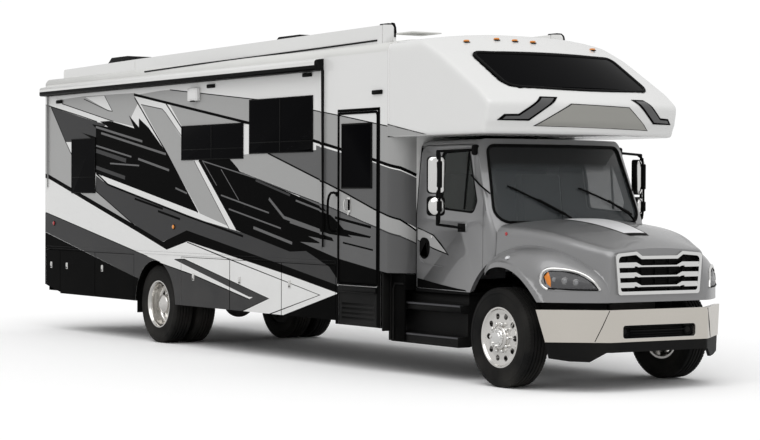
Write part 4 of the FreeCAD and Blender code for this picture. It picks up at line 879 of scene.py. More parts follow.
def repeated(form, count, coat, radius=0.0, step=(0, 0, 0)):
    """The mesh of a form repeated round a ring about Z, or along a row."""
    holder = linked("holder", bpy.data.meshes.new("holder"))
    tree = holder.modifiers.new("repeat", "NODES")
    tree.node_group = REPEAT
    values = {"Count": count, "Radius": radius, "Step": step, "Form": form, "Finish": FINISHES[coat]}
    for item in REPEAT.interface.items_tree:
        if item.in_out == "INPUT" and item.name in values:
            tree[item.identifier] = values[item.name]
    return applied(holder)


def take_in(piece, mesh, place, turn, finish=0):
    """Adds a repeated mesh to a piece, turned or scaled by a matrix and then put in place."""
    made = bmesh_of(mesh)
    bmesh.ops.transform(made, matrix=Matrix.Translation(place) @ turn, verts=made.verts)
    piece.add(made, finish)


print("repeat tree is ready")

# %% [markdown]
# A truck tyre has four deep grooves round its tread, blocks along its two
# shoulders, and raised rings and fine ribs on its walls. The rounded body
# is a turned profile; the shoulder blocks are the repeated form.

# %% Tyres
BEAD, GROOVE_FLOOR, CROWN, SHOULDER_CROWN = 0.298, 0.494, 0.5075, 0.5065
TYRE_WALL = [(0.104, BEAD + 0.001), (0.124, BEAD + 0.012), (0.130, BEAD + 0.03), (0.1345, 0.345), (0.1335, 0.35),
             (0.1362, 0.372), (0.1355, 0.376), (0.1368, 0.40), (0.136, 0.428), (0.134, 0.446), (0.1355, 0.45),
             (0.1355, 0.454), (0.132, 0.459), (0.128, 0.474), (0.119, 0.492), (0.108, 0.5005), (0.097, 0.5035)]
GROOVES = [spot for middle, crown in ((0.062, SHOULDER_CROWN), (0.021, CROWN))
           for spot in ((middle + 0.007, crown), (middle + 0.005, GROOVE_FLOOR), (middle - 0.005, GROOVE_FLOOR),
                        (middle - 0.007, CROWN))]
HALF_TYRE = TYRE_WALL + GROOVES
SHOULDER = small_form(lambda p: p.block((-0.010, 0.0035), (-0.0145, 0.0145), (-0.021, 0.021), bevel=0.002))
RIB = small_form(lambda p: p.block((-0.012, 0.012), (-0.0016, 0.0016), (-0.0012, 0.0012), bevel=0))
BLOCKS = repeated(SHOULDER, 84, "rubber", 0.5015)
RIBS = repeated(RIB, 120, "rubber", 0.440)


def tyre(name, body, axle, y, node):
    piece = Piece(name, body, "rubber")
    piece.turned((axle, y, AXLE_HEIGHT), (0, 1, 0), HALF_TYRE + [(-run, radius) for run, radius in HALF_TYRE[::-1]],
                 sides=96, hollow=True)
    face = Matrix.Rotation(math.pi / 2, 4, "X")
    for side in (-1, 1):
        take_in(piece, BLOCKS, (axle, y + side * 0.0935, AXLE_HEIGHT), face)
        take_in(piece, RIBS, (axle, y + side * 0.1345, AXLE_HEIGHT), face)
    piece.done("tyre", [node])


for hand, side in HANDS.items():
    tyre(f"front_tyre_{hand}-tread", f"front_wheel_{hand}", FRONT_AXLE, side * 1.06, f"front_tyre_{hand}")
    for where, y in (("outer", 1.082), ("inner", 0.748)):
        tyre(f"rear_tyre_{where}_{hand}-tread", f"rear_wheels_{hand}", REAR_AXLE, side * y, f"rear_tyres_{hand}")

# %% [markdown]
# Ten nuts hold each wheel, outside a chromed hub cap. The front hub stands
# proud of the wheel; the rear one sits deep in its dish, with the axle
# flange and its own ring of bolts.

# %% Wheel nuts, hub caps and valve stems
def button(radius, rim, height, top):
    """The profile of a round button, with its edge bevelled above the rim."""
    return [(0, radius), (rim, radius), (height, top), (height, 0)]


NUT_PROFILE = [(0, 0.026), (0.006, 0.026), (0.008, 0.0195), (0.03, 0.0185), (0.042, 0.014), (0.048, 0.006), (0.049, 0)]
NUT = small_form(lambda p: p.turned((0, 0, -0.004), (0, 0, 1), NUT_PROFILE, sides=12))
BOLT = small_form(lambda p: p.turned((0, 0, 0), (0, 0, 1), button(0.0115, 0.012, 0.015, 0.009), sides=6))
NUTS = repeated(NUT, 10, "chrome", 0.1425)
HUB_BOLTS = repeated(BOLT, 8, "chrome", 0.082)
FRONT_CAP = [(0, 0.112), (0.02, 0.112), (0.03, 0.106), (0.034, 0.098), (0.058, 0.096), (0.066, 0.088), (0.066, 0.062),
             (0.074, 0.055), (0.078, 0)]
REAR_CAP = [(0, 0.118), (0.01, 0.118), (0.014, 0.108), (0.05, 0.104), (0.058, 0.096), (0.058, 0.052), (0.07, 0.045),
            (0.074, 0)]
for hand, side in HANDS.items():
    for end, body, axle, disc, cap in (("front", "front_wheel", FRONT_AXLE, 1.158, FRONT_CAP),
                                       ("rear", "rear_wheels", REAR_AXLE, 1.04, REAR_CAP)):
        piece = Piece(f"{end}_nuts_{hand}", f"{body}_{hand}", "chrome")
        face = Matrix.Rotation(-side * math.pi / 2, 4, "X")
        take_in(piece, NUTS, (axle, side * disc, AXLE_HEIGHT), face)
        piece.turned((axle, side * disc, AXLE_HEIGHT), (0, side, 0), cap, sides=40)
        take_in(piece, HUB_BOLTS, (axle, side * (disc + cap[-3][0]), AXLE_HEIGHT), face)
        stem = Vector((axle + 0.17, side * (disc - 0.005), AXLE_HEIGHT + 0.12))
        piece.rod(stem, stem + Vector((0.045, side * 0.02, 0.032)), 0.005, sides=8)
        piece.done("chrome")
for form in (SHOULDER, RIB, NUT, BOLT):
    bpy.data.objects.remove(form)

# %% [markdown]
# Each window sits in a rubber seal that stands a centimetre off the wall,
# and sash bars divide the glass. Bars made of bevelled blocks are enough,
# because the real seal is a straight extrusion too. proud() turns heights
# above the wall into places, so that every piece on a side wall can be
# read as from how far to how far out it stands.

# %% Window seals and sash bars
def proud(low, high):
    """From low to high off the right wall, as a range of Y."""
    return -SIDE - high, -SIDE - low


def ring_bars(piece, x0, x1, z0, z1, y, width):
    """Four bars round an opening in a side wall."""
    for x, z in (((x0, x0 + width), (z0, z1)), ((x1 - width, x1), (z0, z1)), ((x0, x1), (z0, z0 + width)),
                 ((x0, x1), (z1 - width, z1))):
        piece.block(x, y, z, bevel=0.003)


def to_left(piece):
    """Moves everything in a piece over to the vehicle's other side."""
    for v in piece.bm.verts:
        v.co.y = -v.co.y
    bmesh.ops.reverse_faces(piece.bm, faces=piece.bm.faces)


for hand in HANDS:
    seals = Piece(f"window_seals_{hand}", "coach", "gasket")
    for x0, x1, z0, z1 in WINDOWS[hand]:
        ring_bars(seals, x0 - 0.017, x1 + 0.017, z0 - 0.017, z1 + 0.017, proud(0.002, 0.012), 0.014)
        sash = 0.2
        if x1 - x0 > 1.2:
            middle, sash = (x0 + x1) / 2, 0.11
            seals.block((middle - 0.012, middle + 0.012), proud(0.006, 0.0125), (z0, z1), bevel=0.002)
        seals.block((x0, x1), proud(0.006, 0.0115), (z0 + sash, z0 + sash + 0.012), bevel=0.002)
    if hand == "left":
        to_left(seals)
    seals.done("black_plastic")

# %% [markdown]
# A flat metal rail covers the joint above the storage doors. It is painted
# with the house, so it wears a strip of the same film.

# %% The belt rail, and the film on it
rail = Piece("belt_rails", "coach", "dark")
rail.block((REAR, 1.944), proud(-0.001, 0.0046), (1.166, 1.200), bevel=0.0015, mirror=True)
rail.done("house_paint")
for hand in HANDS:
    film(f"belt_rail_{hand}-film", "coach", oblong(REAR + 0.001, 1.943, 1.1675, 1.1985), flat_side(SIDE + 0.0056),
         mirror=hand == "left")

# %% [markdown]
# Every storage door has a chromed latch: a plate, a thumb lever and a lock
# barrel. It is made once as a function and rides on its own door.

# %% Latches on the compartment doors
LATCHES = {"right": [(-5.773, 0.93), (-5.243, 0.93), (-4.093, 0.93), (-1.443, 0.90), (-0.253, 0.90), (0.937, 0.90)],
           "left": [(-4.093, 0.93), (-1.443, 0.90), (0.937, 0.90)]}
for hand, spots in LATCHES.items():
    for i, (x, z) in enumerate(spots, 1):
        latch = Piece(f"latch_{hand}_{i}", f"bay_door_{hand}_{i}", "chrome", "gasket")
        latch.block((x - 0.028, x + 0.028), proud(0.001, 0.009), (z - 0.045, z + 0.045), bevel=0.006)
        latch.block((x - 0.018, x + 0.018), proud(0.006, 0.017), (z - 0.006, z + 0.034), bevel=0.005)
        latch.turned((x, -SIDE - 0.006, z - 0.026), (0, -1, 0), button(0.012, 0.006, 0.008, 0.009), 1, 16)
        if hand == "left":
            to_left(latch)
        latch.done("chrome")

# %% [markdown]
# Small lamps on the walls: round red and amber markers in black rims, flat
# scene lamps under the roof edge, and the white box of an outside socket.

# %% Marker lamps, scene lamps and the outside socket box
lamps = Piece("side_lamps", "coach", "gasket", "red", "amber", "gelcoat")
for x, lens in ((-5.683, 1), (-1.983, 2)):
    lamps.turned((x, -SIDE - 0.001, 1.53), (0, -1, 0), button(0.034, 0.006, 0.009, 0.03), 0, 24, True)
    lamps.turned((x, -SIDE - 0.009, 1.53), (0, -1, 0), [(0, 0.027), (0.006, 0.026), (0.012, 0.018), (0.014, 0)],
                 lens, 24, True)
for x, z in ((-5.50, 3.27), (-0.98, 3.30), (1.33, 3.33), (2.807, 3.07)):
    lamps.block((x - 0.1, x + 0.1), proud(0.001, 0.022), (z - 0.024, z + 0.024), 0, 0.01, True)
    lamps.block((x - 0.06, x + 0.06), proud(0.02, 0.027), (z - 0.012, z + 0.012), 0, 0.005, True)
lamps.block((-1.53, -1.27), proud(0.001, 0.055), (3.13, 3.29), 3, 0.012)
lamps.block((-1.51, -1.29), proud(0.05, 0.06), (3.15, 3.27), 3, 0.005)
lamps.block((-1.45, -1.35), proud(0.03, 0.058), (3.118, 3.134), 0, 0.003)
lamps.done("lamp_lens")

# %% [markdown]
# The entry door has a black trim round its glass, a chromed lock with a
# pull ring, and a black frame in the wall. Beside it stands a bent grab
# bar: a tube swept through points, with a round flange on each end.

# %% The entry door's hardware, its frame and the grab bar
trim = Piece("entry_trim", "entry_door", "gasket", "chrome", "black")
x0, x1, z0, z1 = ENTRY_GLASS
ring_bars(trim, x0 - 0.014, x1 + 0.014, z0 - 0.014, z1 + 0.014, proud(0.002, 0.011), 0.018)
trim.block((2.195, 2.265), proud(0.001, 0.012), (1.75, 1.92), 1, 0.008)
trim.block((2.218, 2.262), proud(0.009, 0.0165), (1.775, 1.895), 2, 0.006)
trim.tube([(x, -SIDE - y, z) for x, y, z in ((2.205, 0.01, 1.91), (2.200, 0.045, 1.89), (2.200, 0.052, 1.835),
                                             (2.200, 0.045, 1.78), (2.205, 0.01, 1.76))], 0.009, 1, 10)
trim.turned((2.232, -SIDE - 0.012, 1.735), (0, -1, 0), button(0.016, 0.008, 0.01, 0.012), 1, 20)
trim.done("chrome")
frame_bars = Piece("entry_frame", "coach", "black")
for x, z in (((2.812, 2.855), (0.94, 2.905)), ((1.986, 2.0), (0.94, 2.905)), ((1.986, 2.855), (2.872, 2.905))):
    frame_bars.block(x, proud(0.0005, 0.006), z, bevel=0.002)
frame_bars.done("black_plastic")
bar = Piece("grab_bar", "coach", "black", "gasket")
bar.tube([(x, -SIDE - y, z) for x, y, z in (
    (1.975, 0.005, 1.955), (1.965, 0.04, 1.972), (1.945, 0.066, 1.966), (1.925, 0.077, 1.935), (1.910, 0.082, 1.88),
    (1.904, 0.082, 1.80), (1.903, 0.082, 1.70), (1.910, 0.080, 1.62), (1.925, 0.074, 1.565), (1.945, 0.055, 1.535),
    (1.965, 0.005, 1.54))], 0.0145, 0, 12)
for z in (1.955, 1.54):
    bar.turned((1.972, -SIDE - 0.001, z), (0, -1, 0), button(0.028, 0.006, 0.009, 0.022), 1, 20)
bar.done("black_plastic")

# %% [markdown]
# Step treads carry rows of ridges against slipping. They are one ridge
# repeated along a row by the same node tree as the tyres' blocks.

# %% Treads of the entry step and of the cab steps
treads = Piece("step_treads", "coach", "plastic", "dash")
for z in (0.925, 0.868):
    treads.block((2.03, 2.784), (-1.292, -1.284), (z - 0.012, z), 0, 0.002)
RIDGE = small_form(lambda p: p.block((-0.010, 0.010), (-0.1, 0.1), (-0.0015, 0.0015), bevel=0.001))
RIDGES = repeated(RIDGE, 40, "dash", step=(0.03, 0, 0))
for y, z, narrow in ((1.085, 0.4535, 0.5), (1.06, 0.7865, 0.42)):
    for side in (-1, 1):
        take_in(treads, RIDGES, (2.935, side * y, z), Matrix.Diagonal((1, narrow, 1, 1)), 1)
    treads.block((2.90, 4.15), (-y - 0.062, -y - 0.052), (z - 0.014, z + 0.001), 1, 0.002, True)
bpy.data.objects.remove(RIDGE)
treads.done("black_plastic")

# %% [markdown]
# Between the entry step and the cab steps the real body has black filler
# panels, edged by thin trims bent in an L. Both sides are alike, so each
# form is made together with its mirror image.

# %% Filler panels and L-shaped trims between the entry step and the cab steps
filler = Piece("sill_fillers", "coach", "black", "plastic")
filler.block((2.885, 3.195), (-1.17, -1.15), (0.36, 1.098), 0, 0.004, True)
filler.block((2.885, 2.915), (-1.262, -1.15), (0.46, 1.098), 1, 0.006, True)
filler.tube([(2.99, -1.178, 0.37), (2.99, -1.178, 0.93), (3.02, -1.178, 0.985), (3.19, -1.178, 0.985)], 0.010, 1,
            mirror=True)
filler.tube([(2.94, -1.176, 0.37), (2.94, -1.176, 1.09)], 0.007, 1, mirror=True)
filler.block((3.195, 3.21), (-1.17, -1.03), (0.92, 1.09), 0, 0.003, True)
filler.done("black_plastic")

# %% [markdown]
# The cab's glass sits in black rubber. The seal follows the glass on the
# packed screen itself: points of the opening's outline are dropped onto
# the real surface by casting rays, so the seal can't float or sink.

# %% Dropping outlines onto the real surfaces
TREES = {}


def surface(name):
    if name not in TREES:
        bm = bmesh_of(nodes[name].data)
        TREES[name] = BVHTree.FromBMesh(bm)
        bm.free()
    return TREES[name]


def drop(name, start, way, lift=0.0):
    """Where a ray meets a node, lifted off it along its normal; None if it misses."""
    spot, normal, _, _ = surface(name).ray_cast(Vector(start), Vector(way))
    if spot is None:
        return None
    if normal.dot(Vector(way)) > 0:
        normal = -normal
    return spot + normal * lift


def drops(name, starts, way, lift=0.0):
    """The same for many rays, without those that miss."""
    return [spot for spot in (drop(name, start, way, lift) for start in starts) if spot]


def rounded(corners, steps=5):
    """Corners (u, v, radius) as a closed list of points, with their arcs."""
    made = []
    for i, (u, v, *radius) in enumerate(corners):
        p = Vector((u, v))
        if not radius:
            made.append(tuple(p))
            continue
        a, b = [(Vector(corners[k % len(corners)][:2]) - p).normalized() for k in (i - 1, i + 1)]
        half = a.angle(b) / 2
        centre = p + (a + b).normalized() * (radius[0] / math.sin(half))
        start, end = [(p + way * (radius[0] / math.tan(half)) - centre).normalized() for way in (a, b)]
        made += [tuple(centre + start.slerp(end, k / steps) * radius[0]) for k in range(steps + 1)]
    return made


def along(points, step):
    """More points on the straight runs of a closed outline."""
    made = []
    for a, b in zip(points, points[1:] + points[:1]):
        a, b = Vector(a), Vector(b)
        count = max(1, round((b - a).length / step))
        made += [tuple(a.lerp(b, k / count)) for k in range(count)]
    return made


def seal_loop(piece, spots, radius):
    """A rubber lip round an opening, wider than it is high."""
    piece.tube(spots + spots[:2], radius, flat=0.6)


print("rays find the packed surfaces")

# %% [markdown]
# The windshield and the two door windows share one recipe: an outline with
# round corners, a little inside the glass, dropped onto it from outside.

# %% Seals of the cab's glass
SCREEN, SCREEN_MIDDLE = [(-0.985, 1.66, 0.14), (-0.88, 2.472, 0.08), (0.88, 2.472, 0.08), (0.985, 1.66, 0.14)], 2.066
DOOR_WINDOW = [(3.655, 1.80, 0.06), (3.605, 2.41, 0.06), (4.10, 2.42, 0.05), (4.31, 1.88, 0.06), (4.26, 1.76, 0.06)]
seal = Piece("screen_seal", "coach", "gasket")
seal_loop(seal, drops("windshield", [(6, y * 0.985, SCREEN_MIDDLE + (z - SCREEN_MIDDLE) * 0.985)
                                     for y, z in along(rounded(SCREEN), 0.06)], (-1, 0, 0)), 0.026)
seal.done("black_plastic")
for hand, side in HANDS.items():
    glass, inwards = f"cab_glass_{hand}", (0, -side, 0)
    seal = Piece(f"door_seals_{hand}", f"cab_door_{hand}", "gasket")
    seal_loop(seal, drops(glass, [(3.955 + (x - 3.955) * 0.99, side * 3, 2.09 + (z - 2.09) * 0.99)
                                  for x, z in along(rounded(DOOR_WINDOW), 0.05)], inwards), 0.021)
    seal.tube(drops(glass, [(4.075 + (z - 1.80) * 0.02, side * 3, z) for z in (1.80, 1.9, 2.0, 2.1, 2.2, 2.3, 2.39)],
                    inwards), 0.013)
    seal.done("black_plastic")

# %% [markdown]
# Two wipers rest on the screen. Each arm bends out of the cowl and each
# blade follows the bowed glass, held by a spine with small claws.

# %% Wipers and the cowl grille
def wiper(piece, low, high, pivot, joint):
    """A blade from low to high across the glass (y, z), and its arm from a pivot on the cowl."""
    low, high, pivot = Vector(low), Vector(high), Vector(pivot)
    line = drops("windshield", [(6, *low.lerp(high, i / 12)) for i in range(13)], (-1, 0, 0), 0.014)
    piece.tube(line, 0.009)
    piece.tube([p + Vector((0.010, 0, 0.004)) for p in line[1:-1]], 0.006, sides=6)
    for p in line[1:-1:2]:
        piece.block((p.x - 0.008, p.x + 0.014), (p.y - 0.006, p.y + 0.006), (p.z - 0.008, p.z + 0.010), 0, 0.002)
    elbow = drop("windshield", (6, *joint), (-1, 0, 0), 0.045)
    piece.tube([pivot, pivot + Vector((0.02, 0, 0.03)), elbow, line[6] + Vector((0.016, 0, 0.006))], 0.0125)
    piece.turned(pivot - Vector((0, 0, 0.02)), (0.3, 0, 1), [(0, 0.024), (0.035, 0.022), (0.045, 0.012), (0.045, 0)],
                 0, 20)


wipers = Piece("wipers", "coach", "gasket")
wiper(wipers, (-0.765, 2.04), (-0.20, 1.745), (4.735, -0.08, 1.655), (-0.22, 1.74))
wiper(wipers, (0.065, 2.02), (0.83, 1.745), (4.66, 0.80, 1.655), (0.72, 1.74))
wipers.done("black_plastic")
cowl = Piece("cowl_grille", "coach", "gasket")
for y0, y1 in ((-0.62, -0.12), (0.14, 0.62)):
    for y in (y0 + (y1 - y0) * k / 8 for k in range(9)):
        x, _, z = drop("cab_shell", (4.70 - y * y * 0.16, y, 2.2), (0, 0, -1), 0.001)
        cowl.block((x - 0.02, x + 0.02), (y - 0.022, y + 0.022), (z - 0.004, z + 0.003), 0, 0.001)
cowl.done("black_plastic")

# %% [markdown]
# Each door carries a tall mirror and a round wide-angle one below it, in
# bright shells that face forwards, on the bent black tube that the packed
# door already has. A shell is a stack of shrinking outlines, bridged.

# %% Mirrors
HEAD, TURN = Vector((4.062, -1.368, 0)), math.radians(-25)


def head_point(side, ahead, across, z):
    """A point by a mirror head: ahead of it, across it and up."""
    x = HEAD.x + ahead * math.cos(TURN) - across * math.sin(TURN)
    y = HEAD.y + ahead * math.sin(TURN) + across * math.cos(TURN)
    return Vector((x, y if side < 0 else -y, z))


def shell_of(piece, side, half, z0, z1, rounding):
    """A crowned shell over the front of a mirror head."""
    middle, tall = (z0 + z1) / 2, (z1 - z0) / 2
    outline = rounded([(-half, z0, rounding), (half, z0, rounding), (half, z1, rounding), (-half, z1, rounding)])
    made = bmesh.new()
    rings = []
    for share, ahead in ((1.0, 0.030), (1.0, 0.038), (0.93, 0.050), (0.7, 0.0654), (0.35, 0.072)):
        squeeze = share if share < 0.9 else 1 - (1 - share) * half / tall
        rings.append([made.verts.new(head_point(side, ahead, u * share, middle + (v - middle) * squeeze))
                      for u, v in outline])
    bridge(made, rings)
    piece.add(made)


for hand, side in HANDS.items():
    made = Piece(f"mirror_shells_{hand}", f"cab_door_{hand}", "chrome", "gasket", "lamp")
    shell_of(made, side, 0.088, 1.965, 2.345, 0.045)
    shell_of(made, side, 0.086, 1.735, 1.930, 0.08)
    for z0, z1 in ((1.975, 2.335), (1.745, 1.92)):
        back = [head_point(side, -0.034, a, z) for a, z in ((-0.078, z0), (0.078, z0), (0.078, z1), (-0.078, z1))]
        made.plate(back, head_point(side, -0.0365, 0, 0) - head_point(side, -0.034, 0, 0), 2)
    for z in (2.25, 2.05, 1.83):
        made.tube([head_point(side, 0, 0, z), head_point(side, 0.03, 0.05, z), (4.105, side * 1.38, z)], 0.012, 1)
    made.tube([head_point(side, *spot) for spot in ((0.02, 0.03, 2.395), (0.072, 0.028, 2.36), (0.084, 0.026, 2.16),
                                                    (0.084, 0.024, 1.83), (0.07, 0.026, 1.70), (0.02, 0.03, 1.66))],
              0.0125, 1, 10)
    for z0, z1 in ((2.02, 2.30), (1.775, 1.885)):
        made.rod(head_point(side, 0.084, 0.026, z0), head_point(side, 0.084, 0.026, z1), 0.026, 1, 16)
    made.tube([(4.20, side * 1.012, 2.155), (4.33, side * 1.008, 2.06), (4.50, side * 0.992, 1.965)], 0.009, 1)
    made.block((4.17, 4.25), (side * 0.93, side), (2.365, 2.475), 1, 0.02)
    made.done("chrome")

# %% [markdown]
# The door's handle is a dark paddle in a recess, with a crease in the panel
# below it that catches the light, and a lock barrel above.

# %% Door handles
RECESS = rounded([(3.285, 1.50, 0.07), (3.275, 1.27, 0.09), (3.455, 1.245, 0.10), (3.475, 1.475, 0.08)], 6)
PADDLE = rounded([(3.32, 1.475, 0.05), (3.315, 1.30, 0.06), (3.42, 1.285, 0.06), (3.435, 1.46, 0.05)], 6)
for hand, side in HANDS.items():
    grip = Piece(f"door_handle_{hand}", f"cab_door_{hand}", "gasket", "cab", "chrome")
    grip.plate([(x, side * 1.0305, z) for x, z in RECESS], (0, side * 0.004, 0))
    grip.plate([(x, side * 1.034, z) for x, z in PADDLE], (0, side * 0.012, 0), bevel=0.004)
    grip.tube([(3.285, side * 1.0335, 1.285), (3.32, side * 1.036, 1.235), (3.40, side * 1.0365, 1.208),
               (3.52, side * 1.0345, 1.195), (3.72, side * 1.0315, 1.183)], 0.008, 1, flat=0.5)
    grip.turned((3.50, side * 1.0305, 1.50), (0, side, 0), [(0, 0.013), (0.003, 0.013), (0.004, 0)], 2, 16)
    grip.done("black_plastic")

# %% [markdown]
# The hood's raised centre wears a bright patch, a painted highlight that
# stands for the sky's reflection on the crown, with a dark vent at its
# front edge. Both are films draped on the hood: here (distance, height) is
# (x, y), and rays from above find the surface. Dark lines along the patch's
# edges are painted shade of the creases there, and two small lamps sit on
# the fenders.

# %% Painted highlight, vent, painted crease shade and lamps on the hood
def on_hood(x, y):
    return drop("hood", (x, y, 3), (0, 0, -1), 0.003)


# A painted highlight: a bright patch for the sky's reflection on the hood's crown.
draped("hood_panel", "hood", [(4.80, -0.27), (5.62, -0.135), (5.62, 0.135), (4.80, 0.27)], on_hood, "pearl",
       "cab_paint", (0.04, 0.04))
draped("hood_vent", "hood", [(5.632, -0.14), (5.70, -0.128), (5.70, 0.128), (5.632, 0.14)], on_hood, "gasket",
       "black_plastic", (0.02, 0.03))
lines = Piece("hood_lines", "hood", "gasket", "red", "lamp")
# Painted shade: a dark tube along each crease that edges the bright patch.
for side in HANDS.values():
    lines.tube(drops("hood", [(x, side * y, 3) for x, y in (
        (4.80, 0.285), (5.0, 0.262), (5.227, 0.222), (5.457, 0.172), (5.64, 0.142))], (0, 0, -1), 0.001), 0.006,
               sides=6, flat=0.5)
    spot = drop("hood", (4.772, side * 3, 1.55), (0, -side, 0))
    lines.turned(spot - Vector((0, side * 0.004, 0)), (0, side, 0),
                 [(0, 0.02), (0.008, 0.019), (0.012, 0.01), (0.012, 0)], 1, 20)
    spot = drop("hood", (5.026, side * 1.153, 3), (0, 0, -1))
    lines.turned(spot - Vector((0, 0, 0.006)), (0, side * 0.5, 1),
                 [(0, 0.03), (0.012, 0.028), (0.02, 0.015), (0.022, 0)], 2, 20)
lines.done("black_plastic")

# %% [markdown]
# The headlamps have a bright rim over the top and the ends, a dark edge
# below, and round reflectors just under the clear lens. All of it is
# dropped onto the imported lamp, so that it follows the swept corner. A few
# points are enough, because cutting a path's corners off makes it smooth.

# %% Headlamps
def eased(path, rounds=2):
    """The same line with its corners cut off again and again, so that it bends smoothly."""
    path = [Vector(p) for p in path]
    for _ in range(rounds):
        cut = [v for a, b in zip(path, path[1:]) for v in (a.lerp(b, 0.25), a.lerp(b, 0.75))]
        path = [path[0]] + cut + [path[-1]]
    return path


def on_lamp(side, path, lift):
    """A path on the front corner; each point lands on the rim, else on the lens, else on the hood."""
    for y, z in eased(path):
        spots = (drop(name, (7, side * y, z), (-1, 0, 0), lift) for name in ("headlight_rims", "headlights", "hood"))
        spot = next((s for s in spots if s), None)
        if spot:
            yield spot


RIM = [(1.105, 1.018), (1.132, 1.045), (1.146, 1.10), (1.139, 1.16), (1.115, 1.203), (1.07, 1.226), (0.99, 1.222),
       (0.91, 1.206), (0.84, 1.178), (0.785, 1.135), (0.742, 1.07), (0.715, 1.015)]
EDGE = [(1.105, 1.03), (1.05, 1.022), (0.95, 1.019), (0.85, 1.017), (0.735, 1.016)]
INNER = [(1.12, 1.07), (1.13, 1.145), (1.09, 1.20), (1.0, 1.203), (0.9, 1.18), (0.83, 1.145), (0.77, 1.08),
         (0.728, 1.025)]
for hand, side in HANDS.items():
    rim = Piece(f"headlamp_trim_{hand}", "hood", "chrome", "gasket", "lamp", angle=50)
    for path, radius, coat, lift in ((RIM, 0.0145, 0, 0.0), (EDGE, 0.008, 1, 0.0), (INNER, 0.0055, 1, 0.001)):
        rim.tube(list(on_lamp(side, path, lift)), radius, coat)
    for y, z, size, coat in ((0.986, 1.106, 0.036, 0), (0.902, 1.093, 0.034, 0), (1.062, 1.12, 0.022, 2),
                             (0.765, 1.047, 0.009, 2)):
        spot, way = drop("headlights", (7, side * y, z), (-1, 0, 0), -0.015), (0.8, side * 0.45, 0.1)
        rim.turned(spot, way, [(run, size * share) for run, share in (
            (0, 1), (0.004, 1), (0.006, 0.85), (0.003, 0.8), (0.004, 0.4), (0.006, 0))], coat, 28)
        rim.turned(spot + Vector((0.006, side * 0.003, 0)), way, [(run, size * share) for run, share in (
            (0, 0.62), (0.003, 0.55), (0.005, 0.3), (0.0055, 0))], 2, 24)
    rim.done("chrome")

# %% [markdown]
# Behind the grille lies a dark mesh on the radiator's face, so nothing can
# be seen through it: thin bars one above another, with a few posts.

# %% Grille mesh and bright bar ends
backing = Piece("grille_mesh", "hood", "chassis", "plastic")
backing.block((5.918, 5.928), (-0.552, 0.552), (0.962, 1.392), 0, 0.002)
for z in (0.978 + k * 0.0225 for k in range(19)):
    backing.block((5.928, 5.944), (-0.545, 0.545), (z - 0.003, z + 0.003), 1, 0.001)
for y in (-0.36, -0.18, 0.0, 0.18, 0.36):
    backing.block((5.928, 5.95), (y - 0.006, y + 0.006), (0.966, 1.388), 1, 0.001)
backing.done("black_plastic")
ends = Piece("grille_bar_ends", "hood", "grille")
for z in (1.264, 1.164, 1.066):
    ends.block((5.966, 6.016), (0.325, 0.508 + (z - 0.964) / 10), (z - 0.031, z - 0.006), 0, 0.004, True)
ends.done("chrome")

# %% [markdown]
# The bumper is pressed sheet with a black insert between two fog lamps, a
# polished ring round it, bright folded edges, and the dark seams of its
# end pieces. The edges follow the face by a small function, because the
# bumper is flat in the middle and swept back at the sides.

# %% The bumper's insert and edges
insert = Piece("bumper_insert", "coach", "plastic", "chassis", "chrome")
insert.block((5.925, 5.935), (-0.5, 0.5), (0.515, 0.685), 1, 0.002)
for z in (0.548 + k * 0.0245 for k in range(5)):
    insert.block((5.935, 5.972), (-0.34, 0.34), (z, z + 0.006), 0, 0.001)
insert.block((5.935, 5.984), (-0.355, 0.355), (0.60, 0.612), 0, 0.002)
for y in (-0.415, 0.415):
    insert.turned((5.94, y, 0.599), (1, 0, 0), [(0, 0.05), (0.03, 0.052), (0.034, 0.048), (0.018, 0.038), (0.014, 0)],
                  0, 28)
    insert.turned((5.952, y, 0.599), (1, 0, 0), [(0, 0.036), (0.012, 0.034), (0.017, 0.02), (0.018, 0)], 1, 24)
loop = rounded([(-0.478, 0.530, 0.035), (0.478, 0.530, 0.035), (0.478, 0.668, 0.035), (-0.478, 0.668, 0.035)], 6)
insert.tube([(6.0125, y, z) for y, z in loop + loop[:2]], 0.0065, 2)
insert.done("black_plastic")


def bumper_face(y):
    """How far forward the bumper's face is at a distance from the middle."""
    return 6.014 if y < 0.60 else 6.014 - 0.009 * (y - 0.60) / 0.04 if y < 0.64 else 6.005 - (y - 0.64) * 0.79


edges = Piece("bumper_edges", "coach", "chrome", "gasket")
for z, far in ((0.8165, 1.19), (0.504, 1.135)):
    path = [(bumper_face(y), y, z) for y in (0.6, 0.64, 0.68, 0.9, far)]
    edges.tube([(x, -y, z) for x, y, z in path[::-1]] + [(6.0145, -0.3, z), (6.0145, 0.3, z)] + path, 0.005)
for side in (-1, 1):
    edges.tube([(6.0135, side * 0.643, 0.813), (5.975, side * 0.70, 0.66), (5.926, side * 0.757, 0.508)], 0.0042, 1)
edges.done("chrome")

# %% [markdown]
# The cap wears a bare badge plate between two chevrons. They are draped
# films too, with (distance, height) being (y, z), and rays along -X carry
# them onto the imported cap. A lighter face lies on a darker, larger border.

# %% Badge plate and chevrons on the cap
def on_cap(lift):
    return lambda y, z: drop("cabover_cap", (8, y, z), (-1, 0, 0), lift)


